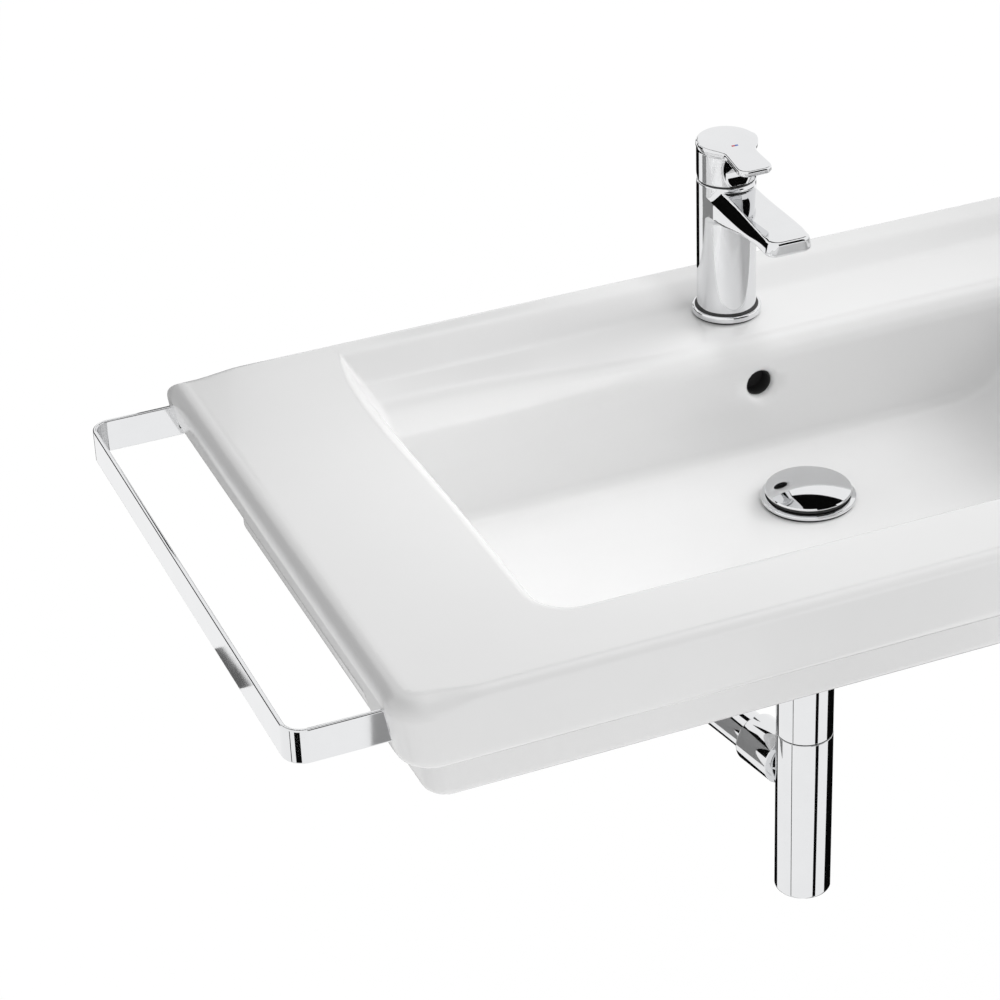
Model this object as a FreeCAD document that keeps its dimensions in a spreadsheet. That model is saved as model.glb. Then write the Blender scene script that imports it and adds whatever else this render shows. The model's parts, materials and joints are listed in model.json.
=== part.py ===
"""Wall-hung double washbasin with two lever taps, push wastes, bottle traps and a towel rail.

Lengths are in millimetres and angles in degrees. +X runs along the wall, +Y points to the wall and +Z up.
The origin lies on the wall plane, at the middle of the basin, level with the wall fixings.
"""
import FreeCAD, Part
import Sketcher
import os
import re

# Driving dimensions, one cell each. Levels are heights above the wall fixings.
SIZES = {
    # Ceramic slab
    "basin_width": 1400.0,
    "basin_depth": 480.0,
    "rim_level": 70.0,
    "side_height": 38.0,
    "apron_height": 56.0,
    "apron_depth": 67.0,
    "side_draft": 9.0,
    "front_draft": 4.0,
    "slab_corner": 12.0,
    "edge_radius": 8.0,
    "lower_edge_radius": 5.0,
    # Skirt under the slab and the plate that carries the wall fixings
    "skirt_inset": 44.0,
    "skirt_front": 413.0,
    "skirt_back": 14.0,
    "skirt_depth": 126.0,
    "skirt_wall": 14.0,
    "skirt_corner": 18.0,
    "skirt_edge": 6.0,
    "plate_inset": 30.0,
    "fixing_dia": 14.0,
    "fixing_reach": 140.0,
    # Sunken ledge and bowls
    "wing_width": 130.0,
    "back_rim": 26.0,
    "front_rim": 66.0,
    "ledge_drop": 10.0,
    "ledge_wall": 14.0,
    "recess_corner": 26.0,
    "bowl_back": 124.0,
    "bowl_depth": 105.0,
    "bowl_wall": 11.0,
    "bowl_floor": 12.0,
    "back_slope": 10.0,
    "front_slope": 22.0,
    "outer_slope": 14.0,
    "bowl_corner": 26.0,
    "foot_radius": 16.0,
    "divider_half": 36.0,
    "rise_radius": 78.0,
    "overflow_dia": 21.0,
    "overflow_drop": 43.0,
    "overflow_depth": 16.0,
    "duct_width": 46.0,
    "duct_depth": 14.0,
    # Places of the fittings
    "tap_offset": 272.0,
    "tap_back": 69.0,
    "waste_back": 206.0,
    "tap_hole": 35.0,
    "waste_hole": 46.0,
    # Tap body, spout and base
    "tap_dia": 45.0,
    "tap_height": 111.6,
    "tap_wall": 3.0,
    "tap_floor": 15.0,
    "tap_cone": 1.5,
    "ring_dia": 53.0,
    "ring_height": 5.0,
    "ring_lip": 1.6,
    "gasket_height": 1.5,
    "gasket_width": 6.0,
    "inlet_dia": 10.0,
    "inlet_spread": 15.0,
    "stud_dia": 8.0,
    "stud_length": 92.0,
    "stud_setback": 9.0,
    "spout_width": 39.0,
    "spout_reach": 107.0,
    "spout_root_drop": 1.0,
    "spout_tip_drop": 10.5,
    "spout_root_thick": 24.0,
    "spout_tip_thick": 11.0,
    "spout_tip_flat": 26.0,
    "spout_corner": 8.0,
    "spout_bore": 7.0,
    "aerator_dia": 20.0,
    "aerator_height": 7.0,
    "aerator_setback": 17.0,
    "aerator_bore": 14.0,
    # Cartridge, its nut, rotor and lever stem
    "cartridge_dia": 34.0,
    "cartridge_height": 38.0,
    "nut_height": 10.0,
    "nut_top_dia": 27.0,
    "rotor_dia": 16.0,
    "rotor_height": 30.0,
    "rotor_clear": 0.05,
    "stem_width": 7.0,
    "stem_depth": 7.0,
    "stem_height": 18.0,
    "slot_clear": 0.3,
    "pin_dia": 3.0,
    "pin_clear": 0.05,
    "pivot_rise": 6.0,
    # Handle
    "handle_gap": 0.4,
    "handle_height": 30.0,
    "handle_wall": 3.0,
    "handle_roof": 12.0,
    "handle_front_drop": 2.0,
    "lever_reach": 55.0,
    "lever_drop": 9.0,
    "lever_thick": 4.5,
    "lever_waist": 27.0,
    "lever_tip": 33.0,
    "lever_corner": 9.0,
    "lever_neck_share": 0.42,
    "lift_angle": 22.0,
    "lift_spare": 2.0,
    "screw_dia": 4.0,
    "screw_length": 9.0,
    "index_dia": 5.0,
    "index_height": 1.0,
    "index_front": 9.0,
    # Clamp below the ledge
    "clamp_outer": 46.0,
    "clamp_gasket": 3.0,
    "clamp_plate": 3.0,
    "clamp_mouth": 28.0,
    "clamp_nut": 13.0,
    "clamp_nut_height": 8.0,
    # Waste
    "flange_dia": 71.0,
    "flange_height": 3.0,
    "flange_rim": 1.2,
    "tail_dia": 40.0,
    "tail_wall": 2.5,
    "tail_length": 78.0,
    "seal_height": 2.0,
    "seal_width": 9.0,
    "back_nut_dia": 60.0,
    "back_nut_height": 11.0,
    "plug_dia": 65.6,
    "plug_dome": 3.5,
    "plug_edge": 2.6,
    "plug_gap": 1.2,
    "stem_dia": 10.0,
    "plug_stem": 46.0,
    "guide_height": 12.0,
    "guide_depth": 26.0,
    "guide_rib": 4.0,
    "guide_hub": 18.0,
    "guide_clear": 0.08,
    # Trap
    "trap_dia": 45.0,
    "trap_wall": 1.5,
    "seam_level": -252.0,
    "seam_groove": 0.8,
    "trap_bottom": -401.0,
    "trap_floor": 2.5,
    "trap_edge": 2.0,
    "cup_seal": 2.0,
    "dip_dia": 32.0,
    "dip_wall": 1.5,
    "dip_end": 24.0,
    "collar_lip": 6.0,
    "collar_clear": 0.3,
    "outlet_level": -285.0,
    "outlet_turn": 10.0,
    "outlet_dia": 32.0,
    "outlet_neck": 31.4,
    "outlet_neck_show": 2.0,
    "outlet_wall": 1.5,
    "outlet_end_gap": 1.0,
    "branch_dia": 36.0,
    "branch_length": 28.0,
    "outlet_collar": 42.0,
    "outlet_collar_length": 36.0,
    "outlet_seal_length": 6.0,
    # Towel rail
    "rail_reach": 62.0,
    "rail_height": 25.0,
    "rail_thick": 3.2,
    "rail_drop": 14.5,
    "rail_back": 16.0,
    "rail_front": 452.0,
    "rail_corner": 15.0,
    "tenon_length": 26.0,
    "tenon_height": 14.0,
    # One overrun for all cuts
    "overrun": 5.0,
}

doc = FreeCAD.newDocument("double_washbasin")
sheet = doc.addObject("Spreadsheet::Sheet", "Sizes")
for row, (alias, value) in enumerate(SIZES.items(), 1):
    sheet.set(f"A{row}", alias)
    sheet.set(f"B{row}", str(value))
    sheet.setAlias(f"B{row}", alias)
doc.recompute()

pieces = []


def bind(text):
    """Give each alias in an expression the sheet's name, and leave functions alone."""
    return re.sub(r"\b[a-z][a-z_]*\b(?!\()", lambda found: "Sizes." + found.group(0), text)


def size(text):
    """Return the number that an expression in aliases stands for."""
    return float(sheet.evalExpression(text))


def drive(thing, values):
    """Bind properties of a document object to expressions in aliases."""
    for name, text in values.items():
        thing.setExpression(name, bind(text))
    return thing


def place(thing, x="0", y="0", z="0"):
    """Bind an object's position to expressions in aliases."""
    base = ".Placement.Base."
    return drive(thing, {base + "x": x, base + "y": y, base + "z": z})


def turn(thing, axis, text):
    """Bind an object's rotation about one axis to an angle in the sheet."""
    thing.Placement = FreeCAD.Placement(thing.Placement.Base, FreeCAD.Rotation(axis, size(text)))
    return drive(thing, {".Placement.Rotation.Angle": text})


def arc(start, end, radius):
    """Return the counter-clockwise arc of less than a half circle from one point to another."""
    chord = end - start
    middle = (start + end) * 0.5
    inward = FreeCAD.Vector(-chord.y, chord.x, 0).normalize()
    centre = middle + inward * max(radius ** 2 - chord.Length ** 2 / 4, 0) ** 0.5
    halfway = centre + (middle - centre).normalize() * radius
    return Part.Arc(start, halfway, end)


def outline(body, role, points):
    """Draw a closed outline on one of a body's planes, each corner bound to the sheet.

    A point of two expressions starts a straight run, and one with a third starts an arc of that radius.
    """
    sketch = body.newObject("Sketcher::SketchObject", "outline")
    plane = next(item for item in body.Origin.OriginFeatures if item.Role == role)
    sketch.AttachmentSupport = [(plane, "")]
    sketch.MapMode = "FlatFace"
    corners = [FreeCAD.Vector(size(point[0]), size(point[1]), 0) for point in points]
    count = len(corners)
    for index, point in enumerate(points):
        start, end = corners[index], corners[(index + 1) % count]
        bent = len(point) == 3
        sketch.addGeometry(arc(start, end, size(point[2])) if bent else Part.LineSegment(start, end))
    for index in range(count):
        sketch.addConstraint(Sketcher.Constraint("Coincident", index, 2, (index + 1) % count, 1))
    for index, point in enumerate(points):
        for kind, text in zip(("DistanceX", "DistanceY"), point):
            number = sketch.addConstraint(Sketcher.Constraint(kind, -1, 1, index, 1, size(text)))
            sketch.renameConstraint(number, f"{kind}{index}")
            sketch.setExpression(f"Constraints.{kind}{index}", bind(text))
        if len(point) == 3:
            number = sketch.addConstraint(Sketcher.Constraint("Radius", index, size(point[2])))
            sketch.renameConstraint(number, f"Radius{index}")
            sketch.setExpression(f"Constraints.Radius{index}", bind(point[2]))
    return sketch


def turned(name, points):
    """Turn an outline of (radius, height) points about the vertical axis."""
    body = doc.addObject("PartDesign::Body", name)
    sketch = outline(body, "XZ_Plane", points)
    feature = body.newObject("PartDesign::Revolution", "turned")
    feature.Profile = sketch
    feature.ReferenceAxis = (sketch, ["V_Axis"])
    feature.Angle = 360
    return body


def tube(name, outer, inner, low, high):
    """Turn a plain tube from its two radii and its two levels."""
    return turned(name, [(inner, low), (outer, low), (outer, high), (inner, high)])


def prism(name, role, points, length, both_ways=True):
    """Pad an outline on one of the three planes, about the plane or to one side of it."""
    body = doc.addObject("PartDesign::Body", name)
    sketch = outline(body, role, points)
    feature = body.newObject("PartDesign::Pad", "padded")
    feature.Profile = sketch
    feature.SideType = "Symmetric" if both_ways else "One side"
    drive(feature, {"Length": length})
    return body


def cylinder(name, radius, height, x="0", y="0", z="0"):
    """Make an upright cylinder on its base point."""
    thing = drive(doc.addObject("Part::Cylinder", name), {"Radius": radius, "Height": height})
    return place(thing, x, y, z)


def rod(name, radius, length, axis, angle, x="0", y="0", z="0"):
    """Make a lying cylinder: an upright one turned about an axis by a whole-number angle."""
    thing = cylinder(name, radius, length, x, y, z)
    thing.Placement = FreeCAD.Placement(FreeCAD.Vector(), FreeCAD.Rotation(axis, angle))
    return place(thing, x, y, z)


def block(name, length, width, height, x, y, z):
    """Make a box from its lowest corner."""
    thing = drive(doc.addObject("Part::Box", name), {"Length": length, "Width": width, "Height": height})
    return place(thing, x, y, z)


def join(name, *things):
    """Fuse several solids to one."""
    fused = doc.addObject("Part::MultiFuse", name)
    fused.Shapes = list(things)
    fused.Refine = True
    return fused


def shared(name, *things):
    """Keep what several solids have in common."""
    common = doc.addObject("Part::MultiCommon", name)
    common.Shapes = list(things)
    return common


def cut(name, base, *tools):
    """Cut several tools out of a base."""
    result = doc.addObject("Part::Cut", name)
    result.Base = base
    result.Tool = tools[0] if len(tools) == 1 else join(name + "_tools", *tools)
    return result


def group(name, *things):
    """Put separate solids side by side in one object."""
    result = doc.addObject("Part::Compound", name)
    result.Links = list(things)
    return result


def rounded(name, base, radius, chosen):
    """Round the edges of a solid that a test picks."""
    doc.recompute()
    result = doc.addObject("Part::Fillet", name)
    result.Base = base
    found = [number for number, edge in enumerate(base.Shape.Edges, 1) if chosen(edge)]
    result.Edges = [(number, size(radius), size(radius)) for number in found]
    return result


def piece(name, thing):
    """Name a finished sub-part."""
    thing.Label = name
    pieces.append(thing)
    return thing


def upright(edge):
    """Tell whether an edge runs straight up and down."""
    ends = [vertex.Point for vertex in edge.Vertexes]
    if len(ends) < 2:
        return False
    along = ends[1] - ends[0]
    return abs(along.z) > max(abs(along.x), abs(along.y)) * 2


def level(edge, text):
    """Tell whether an edge lies at one height."""
    box = edge.BoundBox
    height = size(text)
    nearly = size("basin_width") / 1e6
    return abs(box.ZMin - height) < nearly and abs(box.ZMax - height) < nearly


X_AXIS = FreeCAD.Vector(1, 0, 0)
Y_AXIS = FreeCAD.Vector(0, 1, 0)
Z_AXIS = FreeCAD.Vector(0, 0, 1)
SIDES = (("left", "-"), ("right", ""))


# Ceramic basin

HALF = "basin_width / 2"
SLAB_FOOT = "(rim_level - apron_height)"
SKIRT_FOOT = "(rim_level - skirt_depth)"


def slab():
    """Make the slab: drafted sides, rounded rim, and an apron that hangs lower along the front."""
    front = prism("slab_front", "XZ_Plane", [
        (f"-{HALF} + side_draft", SLAB_FOOT),
        (f"{HALF} - side_draft", SLAB_FOOT),
        (HALF, "rim_level"),
        (f"-{HALF}", "rim_level"),
    ], "basin_depth * 2")
    side = prism("slab_side", "YZ_Plane", [
        ("0", "rim_level"),
        ("0", "rim_level - side_height"),
        ("apron_depth - basin_depth", "rim_level - side_height"),
        ("apron_depth - basin_depth", SLAB_FOOT),
        ("front_draft - basin_depth", SLAB_FOOT),
        ("-basin_depth", "rim_level"),
    ], "basin_width * 2")
    whole = shared("slab_whole", front, side)
    corners = rounded("slab_corners", whole, "slab_corner", lambda edge: upright(edge)
                      and edge.CenterOfMass.y < size("-basin_depth / 2") and outer_corner(edge))
    rim = rounded("slab_rim", corners, "edge_radius", lambda edge: level(edge, "rim_level")
                  and edge.BoundBox.YMin < size("-edge_radius"))
    return rounded("slab_form", rim, "lower_edge_radius", lambda edge: level(edge, SLAB_FOOT)
                   and edge.CenterOfMass.y < size("apron_depth / 2 - basin_depth"))


def outer_corner(edge):
    """Tell whether an edge of the slab stands at one of its two front corners."""
    reach = size(f"{HALF} - side_draft * 2")
    return abs(edge.CenterOfMass.x) > reach and edge.CenterOfMass.y < size("front_draft * 2 - basin_depth")


def skirt():
    """Make the skirt below the slab, as a full block with rounded corners."""
    blank = block("skirt_blank", "basin_width - 2 * skirt_inset", "skirt_front - skirt_back",
                  "skirt_depth - ledge_wall", f"skirt_inset - {HALF}", "-skirt_front", SKIRT_FOOT)
    corners = rounded("skirt_corners", blank, "skirt_corner", upright)
    return rounded("skirt_form", corners, "skirt_edge", lambda edge: level(edge, SKIRT_FOOT))


def bowl(name, sign, wall, below, roof):
    """Make the form of one bowl, grown by a wall and a floor thickness for its outside.

    The lengthwise section is steep at the outer end and rises in a quarter circle to the divider.
    """
    floor = f"(rim_level - bowl_depth - {below})"
    outer = f"(wing_width - {HALF} - {wall})"
    rise = f"({wall} - divider_half)"
    back = f"({wall} - bowl_back)"
    front = f"(front_rim - basin_depth - {wall})"
    lengthwise = prism(name + "_lengthwise", "XZ_Plane", [
        (outer, roof),
        (f"{outer} + outer_slope", floor),
        (f"{rise} - rise_radius", floor, "rise_radius"),
        (rise, f"{floor} + rise_radius"),
        (rise, roof),
    ], "basin_depth * 2")
    crosswise = prism(name + "_crosswise", "YZ_Plane", [
        (back, roof),
        (f"{back} - back_slope", floor),
        (f"{front} + front_slope", floor),
        (front, roof),
    ], "basin_width * 2")
    both = shared(name + "_both", lengthwise, crosswise)
    corners = rounded(name + "_corners", both, f"bowl_corner + {wall}", steep_edge)
    form = rounded(name + "_form", corners, f"foot_radius + {below}", lambda edge: level(edge, floor)
                   and edge.BoundBox.XMin < size(f"{rise} - rise_radius * 2"))
    if sign == "":
        mirror = doc.addObject("Part::Mirroring", name + "_mirror")
        mirror.Source = form
        mirror.Normal = X_AXIS
        return mirror
    return form


def steep_edge(edge):
    """Tell whether an edge of a bowl runs from the floor up to the rim at the outer end."""
    return upright(edge) and edge.CenterOfMass.x < size(f"wing_width * 2 - {HALF}")


def basin():
    """Make the ceramic: the body of slab and skirt, and the two bowls that hang inside the skirt."""
    ledge = "rim_level - ledge_drop"
    under_ledge = "(rim_level - ledge_drop - ledge_wall)"
    plate = block("fixing_plate", "basin_width - 2 * skirt_inset - 2 * plate_inset", "skirt_back + skirt_wall",
                  "skirt_depth - skirt_wall", f"skirt_inset + plate_inset - {HALF}",
                  "-skirt_back - skirt_wall", SKIRT_FOOT)
    hollow = block("skirt_hollow", "basin_width - 2 * skirt_inset - 2 * skirt_wall",
                   "skirt_front - skirt_back - 2 * skirt_wall",
                   f"{under_ledge} - {SKIRT_FOOT} + overrun", f"skirt_inset + skirt_wall - {HALF}",
                   "skirt_wall - skirt_front", f"{SKIRT_FOOT} - overrun")
    shell = cut("shell", join("outer_form", slab(), skirt(), plate), hollow)
    ducts = []
    cuts = []
    for side, sign in SIDES:
        centre = f"{sign}tap_offset"
        outside = bowl(side + "_bowl_outside", sign, "bowl_wall", "bowl_floor", under_ledge + " + overrun")
        inside = bowl(side + "_bowl_inside", sign, "0", "0", "rim_level + overrun")
        duct = block(side + "_duct", "duct_width", "duct_depth + bowl_wall",
                     f"{under_ledge} - (rim_level - bowl_depth)", f"{centre} - duct_width / 2",
                     "-bowl_back", "rim_level - bowl_depth")
        overflow = rod(side + "_overflow", "overflow_dia / 2", "overflow_depth + 2 * overrun", X_AXIS, -90,
                       centre, "-bowl_back - back_slope - overrun", "rim_level - overflow_drop")
        waste_hole = cylinder(side + "_waste_hole", "waste_hole / 2", "bowl_floor + 2 * overrun", centre,
                              "-waste_back", "rim_level - bowl_depth - bowl_floor - overrun")
        piece(side + "_bowl", cut(side + "_bowl_form", shared(side + "_bowl_fit", outside, hollow),
                                  inside, overflow, waste_hole))
        ducts.append(cut(side + "_duct_fit", duct, outside))
        cuts.append(inside)
        cuts.append(overflow)
        cuts.append(cylinder(side + "_tap_hole", "tap_hole / 2", "ledge_wall + ledge_drop + 2 * overrun",
                             centre, "-tap_back", under_ledge + " - overrun"))
        for reach in ("-fixing_reach", "+fixing_reach"):
            cuts.append(rod(f"{side}_fixing_hole", "fixing_dia / 2",
                            "skirt_back + skirt_wall + 2 * overrun", X_AXIS, 90,
                            f"{centre} {reach}", "overrun", "0"))
    recess = block("ledge_recess", "basin_width - 2 * wing_width", "basin_depth - back_rim - front_rim",
                   "ledge_drop + overrun", f"wing_width - {HALF}", "front_rim - basin_depth", ledge)
    cuts.append(rounded("ledge_recess_form", recess, "recess_corner", lambda edge: upright(edge)
                        and edge.CenterOfMass.y < size("-basin_depth / 2")))
    cuts += tenons("rail_slot")
    piece("basin_body", cut("ceramic", join("ceramic_form", shell, *ducts), *cuts))


# Towel rail

RAIL_LEVEL = "(rim_level - rail_drop)"


def rail():
    """Make the flat band bent to a U on the left side, and the tongues that hold it."""
    outer = f"(-{HALF} - rail_reach)"
    inner = f"(-{HALF} + side_draft)"
    band = block("rail_blank", f"{inner} - {outer}", "rail_front - rail_back + rail_thick", "rail_height",
                 outer, "-rail_front - rail_thick / 2", f"{RAIL_LEVEL} - rail_height")
    bent = rounded("rail_outside", band, "rail_corner", lambda edge: upright(edge)
                   and edge.CenterOfMass.x < size(f"-{HALF}"))
    space = block("rail_space", f"{inner} - {outer} + overrun", "rail_front - rail_back - rail_thick",
                  "rail_height + 2 * overrun", f"{outer} + rail_thick", "-rail_front + rail_thick / 2",
                  f"{RAIL_LEVEL} - rail_height - overrun")
    opening = rounded("rail_inside", space, "rail_corner - rail_thick", lambda edge: upright(edge)
                      and edge.CenterOfMass.x < size(f"-{HALF}"))
    piece("towel_rail", cut("rail_band", bent, opening, slab_copy()))
    ends = [shared("rail_tenon_end", tenon, slab_copy()) for tenon in tenons("rail_tenon")]
    piece("rail_tenons", group("rail_tenon_pair", *ends))


def tenons(name):
    """Make the two flat tongues that carry the rail's ends into slots in the slab's side."""
    return [block(name, "tenon_length", "rail_thick", "tenon_height", f"-{HALF}",
                  f"-{reach} - rail_thick / 2", f"{RAIL_LEVEL} - rail_height / 2 - tenon_height / 2")
            for reach in ("rail_back", "rail_front")]


def slab_copy():
    """Make a plain copy of the slab's drafted sides, to trim the rail's ends against the ceramic."""
    return prism("rail_trim", "XZ_Plane", [
        (f"-{HALF} + side_draft", SLAB_FOOT),
        (HALF, SLAB_FOOT),
        (HALF, "rim_level"),
        (f"-{HALF}", "rim_level"),
    ], "basin_depth * 3")


# Tap

LEDGE = "(rim_level - ledge_drop)"
TAP_FOOT = "(rim_level - ledge_drop + gasket_height)"
SEAM = "(rim_level - ledge_drop + tap_height)"
PIVOT = "(rim_level - ledge_drop + tap_height + pivot_rise)"


def at_tap(thing, sign):
    """Place a piece that is drawn about the tap's axis."""
    return place(thing, f"{sign}tap_offset", "-tap_back")


def spout(name):
    """Make the spout: a wide flat plank, deep at the body, whose tip has rounded corners."""
    top = f"{SEAM} - spout_root_drop"
    tip = f"{SEAM} - spout_tip_drop"
    flank = prism(name + "_flank", "YZ_Plane", [
        ("0", top),
        ("0", f"{top} - spout_root_thick"),
        ("-tap_dia / 2", f"{top} - spout_root_thick"),
        ("spout_tip_flat - spout_reach", f"{tip} - spout_tip_thick"),
        ("-spout_reach", f"{tip} - spout_tip_thick"),
        ("-spout_reach", tip),
        ("-tap_dia / 2", top),
    ], "spout_width")
    return rounded(name + "_plank", flank, "spout_corner", lambda edge: upright(edge)
                   and edge.CenterOfMass.y < size("spout_corner - spout_reach"))


def tap(side, sign):
    """Make one tap: its fixed pieces, the rotor that swivels and the handle that lifts."""
    name = side + "_tap"
    inside = "cartridge_dia / 2 - tap_wall"
    shell = turned(name + "_shell", [
        ("0", TAP_FOOT), ("tap_dia / 2", TAP_FOOT), ("tap_dia / 2", f"{SEAM} - tap_cone"),
        ("tap_dia / 2 - tap_cone", SEAM), ("0", SEAM)])
    seat = f"{SEAM} - cartridge_height"
    chamber = turned(name + "_chamber", [
        ("0", f"{TAP_FOOT} + tap_floor"), (inside, f"{TAP_FOOT} + tap_floor"), (inside, seat),
        ("cartridge_dia / 2", seat), ("cartridge_dia / 2", f"{SEAM} + overrun"), ("0", f"{SEAM} + overrun")])
    aerator_seat = f"{SEAM} - spout_tip_drop - spout_tip_thick"
    bores = [
        chamber,
        cylinder(name + "_aerator_seat", "aerator_dia / 2", "aerator_height + overrun", "0",
                 "aerator_setback - spout_reach", f"{aerator_seat} - overrun"),
        rod(name + "_waterway", "spout_bore / 2", "spout_reach - aerator_setback", X_AXIS, 90, "0", "0",
            f"{aerator_seat} + aerator_height - spout_bore / 4"),
        cylinder(name + "_stud_bore", "stud_dia / 2", "tap_floor - tap_wall", "0", "stud_setback", TAP_FOOT),
    ]
    for reach in ("-inlet_spread / 2", "inlet_spread / 2"):
        bores.append(cylinder(name + "_inlet", "inlet_dia / 2", "tap_floor + 2 * overrun", reach,
                              "-stud_setback / 2", f"{TAP_FOOT} - overrun"))
    piece(name + "_body", at_tap(cut(name + "_bored", join(name + "_outside", shell, spout(name)), *bores), sign))
    piece(name + "_base_ring", at_tap(turned(name + "_ring", [
        ("tap_dia / 2", TAP_FOOT), ("ring_dia / 2", TAP_FOOT),
        ("ring_dia / 2", f"{TAP_FOOT} + ring_height - ring_lip"),
        ("ring_dia / 2 - ring_lip", f"{TAP_FOOT} + ring_height"),
        ("tap_dia / 2", f"{TAP_FOOT} + ring_height")]), sign))
    piece(name + "_base_gasket", at_tap(tube(name + "_gasket", "ring_dia / 2 - ring_lip",
                                             "ring_dia / 2 - gasket_width", LEDGE, TAP_FOOT), sign))
    cartridge(name, sign)
    handle(name, sign)
    piece(name + "_aerator", at_tap(tube_at(name + "_aerator_shell", "aerator_dia / 2", "aerator_bore / 2",
                                            "aerator_height", "aerator_setback - spout_reach",
                                            aerator_seat), sign))


def tube_at(name, outer, inner, height, y, z):
    """Make an upright tube with its foot at a place beside the axis."""
    return cut(name, cylinder(name + "_outer", outer, height, "0", y, z),
               cylinder(name + "_inner", inner, f"{height} + 2 * overrun", "0", y, f"{z} - overrun"))


def cartridge(name, sign):
    """Make the cartridge, the nut that holds it, the rotor inside it, and the lever stem on its pin."""
    foot = f"{SEAM} - cartridge_height"
    rotor_foot = f"({PIVOT} + stem_depth / 2 - rotor_height)"
    bore = "rotor_dia / 2 + rotor_clear"
    piece(name + "_cartridge", at_tap(turned(name + "_cartridge_form", [
        ("0", foot), ("cartridge_dia / 2", foot), ("cartridge_dia / 2", f"{SEAM} - nut_height"),
        (bore, f"{SEAM} - nut_height"), (bore, rotor_foot), ("0", rotor_foot)]), sign))
    piece(name + "_cartridge_nut", at_tap(turned(name + "_nut_form", [
        (bore, f"{SEAM} - nut_height"), ("cartridge_dia / 2", f"{SEAM} - nut_height"),
        ("cartridge_dia / 2", SEAM), ("nut_top_dia / 2", f"{SEAM} + tap_cone"), (bore, f"{SEAM} + tap_cone")]),
        sign))
    slot = prism(name + "_slot", "XZ_Plane", [
        ("-stem_width / 2 - slot_clear", f"{PIVOT} - stem_depth / 2 - slot_clear"),
        ("stem_width / 2 + slot_clear", f"{PIVOT} - stem_depth / 2 - slot_clear"),
        ("stem_width / 2 + slot_clear", f"{PIVOT} + rotor_height"),
        ("-stem_width / 2 - slot_clear", f"{PIVOT} + rotor_height")], "rotor_dia + overrun")
    pin_hole = rod(name + "_pin_hole", "pin_dia / 2", "rotor_dia + 2 * overrun", Y_AXIS, 90,
                   "-rotor_dia / 2 - overrun", "0", PIVOT)
    core = cylinder(name + "_core", "rotor_dia / 2", "rotor_height", "0", "0", rotor_foot)
    piece(name + "_rotor", at_tap(cut(name + "_rotor_form", core, slot, pin_hole), sign))
    reach = "(rotor_dia / 2 - stem_width / 4)"
    pin = rod(name + "_pin", "pin_dia / 2", f"2 * {reach}", Y_AXIS, 90, f"-{reach}", "0", PIVOT)
    piece(name + "_pivot_pin", at_tap(group(name + "_pin_place", pin), sign))
    blade = block(name + "_blade", "stem_width", "stem_depth", "stem_height", "-stem_width / 2", "-stem_depth / 2",
                  PIVOT)
    eye = rod(name + "_eye", "stem_depth / 2", "stem_width", Y_AXIS, 90, "-stem_width / 2", "0", PIVOT)
    eye_hole = rod(name + "_eye_hole", "pin_dia / 2 + pin_clear", "stem_width + 2 * overrun", Y_AXIS, 90,
                   "-stem_width / 2 - overrun", "0", PIVOT)
    piece(name + "_lever_stem", at_tap(cut(name + "_stem_form", join(name + "_stem_blank", blade, eye), eye_hole),
                                       sign))


def handle(name, sign):
    """Make the handle: a cap with a thin flared lever, hollow inside, its rear relieved so that it can lift."""
    foot = f"({SEAM} + handle_gap)"
    top = f"({SEAM} + handle_height)"
    tip = f"({top} - lever_drop)"
    flank = prism(name + "_handle_flank", "YZ_Plane", [
        ("tap_dia", foot), ("-tap_dia / 2", foot),
        ("-tap_dia / 2", f"{foot} + handle_height * lever_neck_share"),
        ("-lever_reach", f"{tip} - lever_thick"), ("-lever_reach", tip),
        ("-tap_dia / 2", f"{top} - handle_front_drop"), ("0", top), ("tap_dia", top)], "tap_dia * 2")
    tongue = prism(name + "_tongue", "XY_Plane", [
        ("-lever_waist / 2", "0"), ("-lever_waist / 2", "-tap_dia / 2"),
        ("-lever_tip / 2", "lever_corner - lever_reach"), ("lever_corner - lever_tip / 2", "-lever_reach"),
        ("lever_tip / 2 - lever_corner", "-lever_reach"), ("lever_tip / 2", "lever_corner - lever_reach"),
        ("lever_waist / 2", "-tap_dia / 2"), ("lever_waist / 2", "0")], f"4 * {top}")
    cap = cylinder(name + "_cap", "tap_dia / 2", "2 * handle_height", "0", "0", foot)
    form = shared(name + "_handle_form", flank, join(name + "_plan", cap, tongue))
    relief = prism(name + "_relief", "YZ_Plane", [
        ("0", foot), ("tap_dia", foot),
        ("tap_dia", f"{foot} + tap_dia * tan(lift_angle + lift_spare)")], "tap_dia * 2")
    hollow = tube(name + "_hollow", "tap_dia / 2 - handle_wall", "0", f"{foot} - overrun", f"{top} - handle_roof")
    stem_top = f"({PIVOT} + stem_height)"
    socket = block(name + "_socket", "stem_width", "stem_depth", f"{stem_top} - {foot}", "-stem_width / 2",
                   "-stem_depth / 2", foot)
    screw_level = f"({top} - handle_roof + screw_dia * 0.75)"
    screw = rod(name + "_screw_bore", "screw_dia / 2", "tap_dia", X_AXIS, -90, "0", "stem_depth / 2", screw_level)
    dot_foot = f"({top} - handle_front_drop * index_front / (tap_dia / 2) - index_height)"
    dimple = cylinder(name + "_dimple", "index_dia / 2", "index_height + overrun", "0", "-index_front", dot_foot)
    piece(name + "_handle", at_tap(cut(name + "_handle_cut", form, relief, hollow, socket, screw, dimple), sign))
    grub = rod(name + "_screw", "screw_dia / 2", "screw_length", X_AXIS, -90, "0", "stem_depth / 2", screw_level)
    piece(name + "_grub_screw", at_tap(group(name + "_screw_place", grub), sign))
    dot = cylinder(name + "_dot", "index_dia / 2", "index_height", "0", "-index_front", dot_foot)
    piece(name + "_index_dot", at_tap(group(name + "_dot_place", dot), sign))


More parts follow.
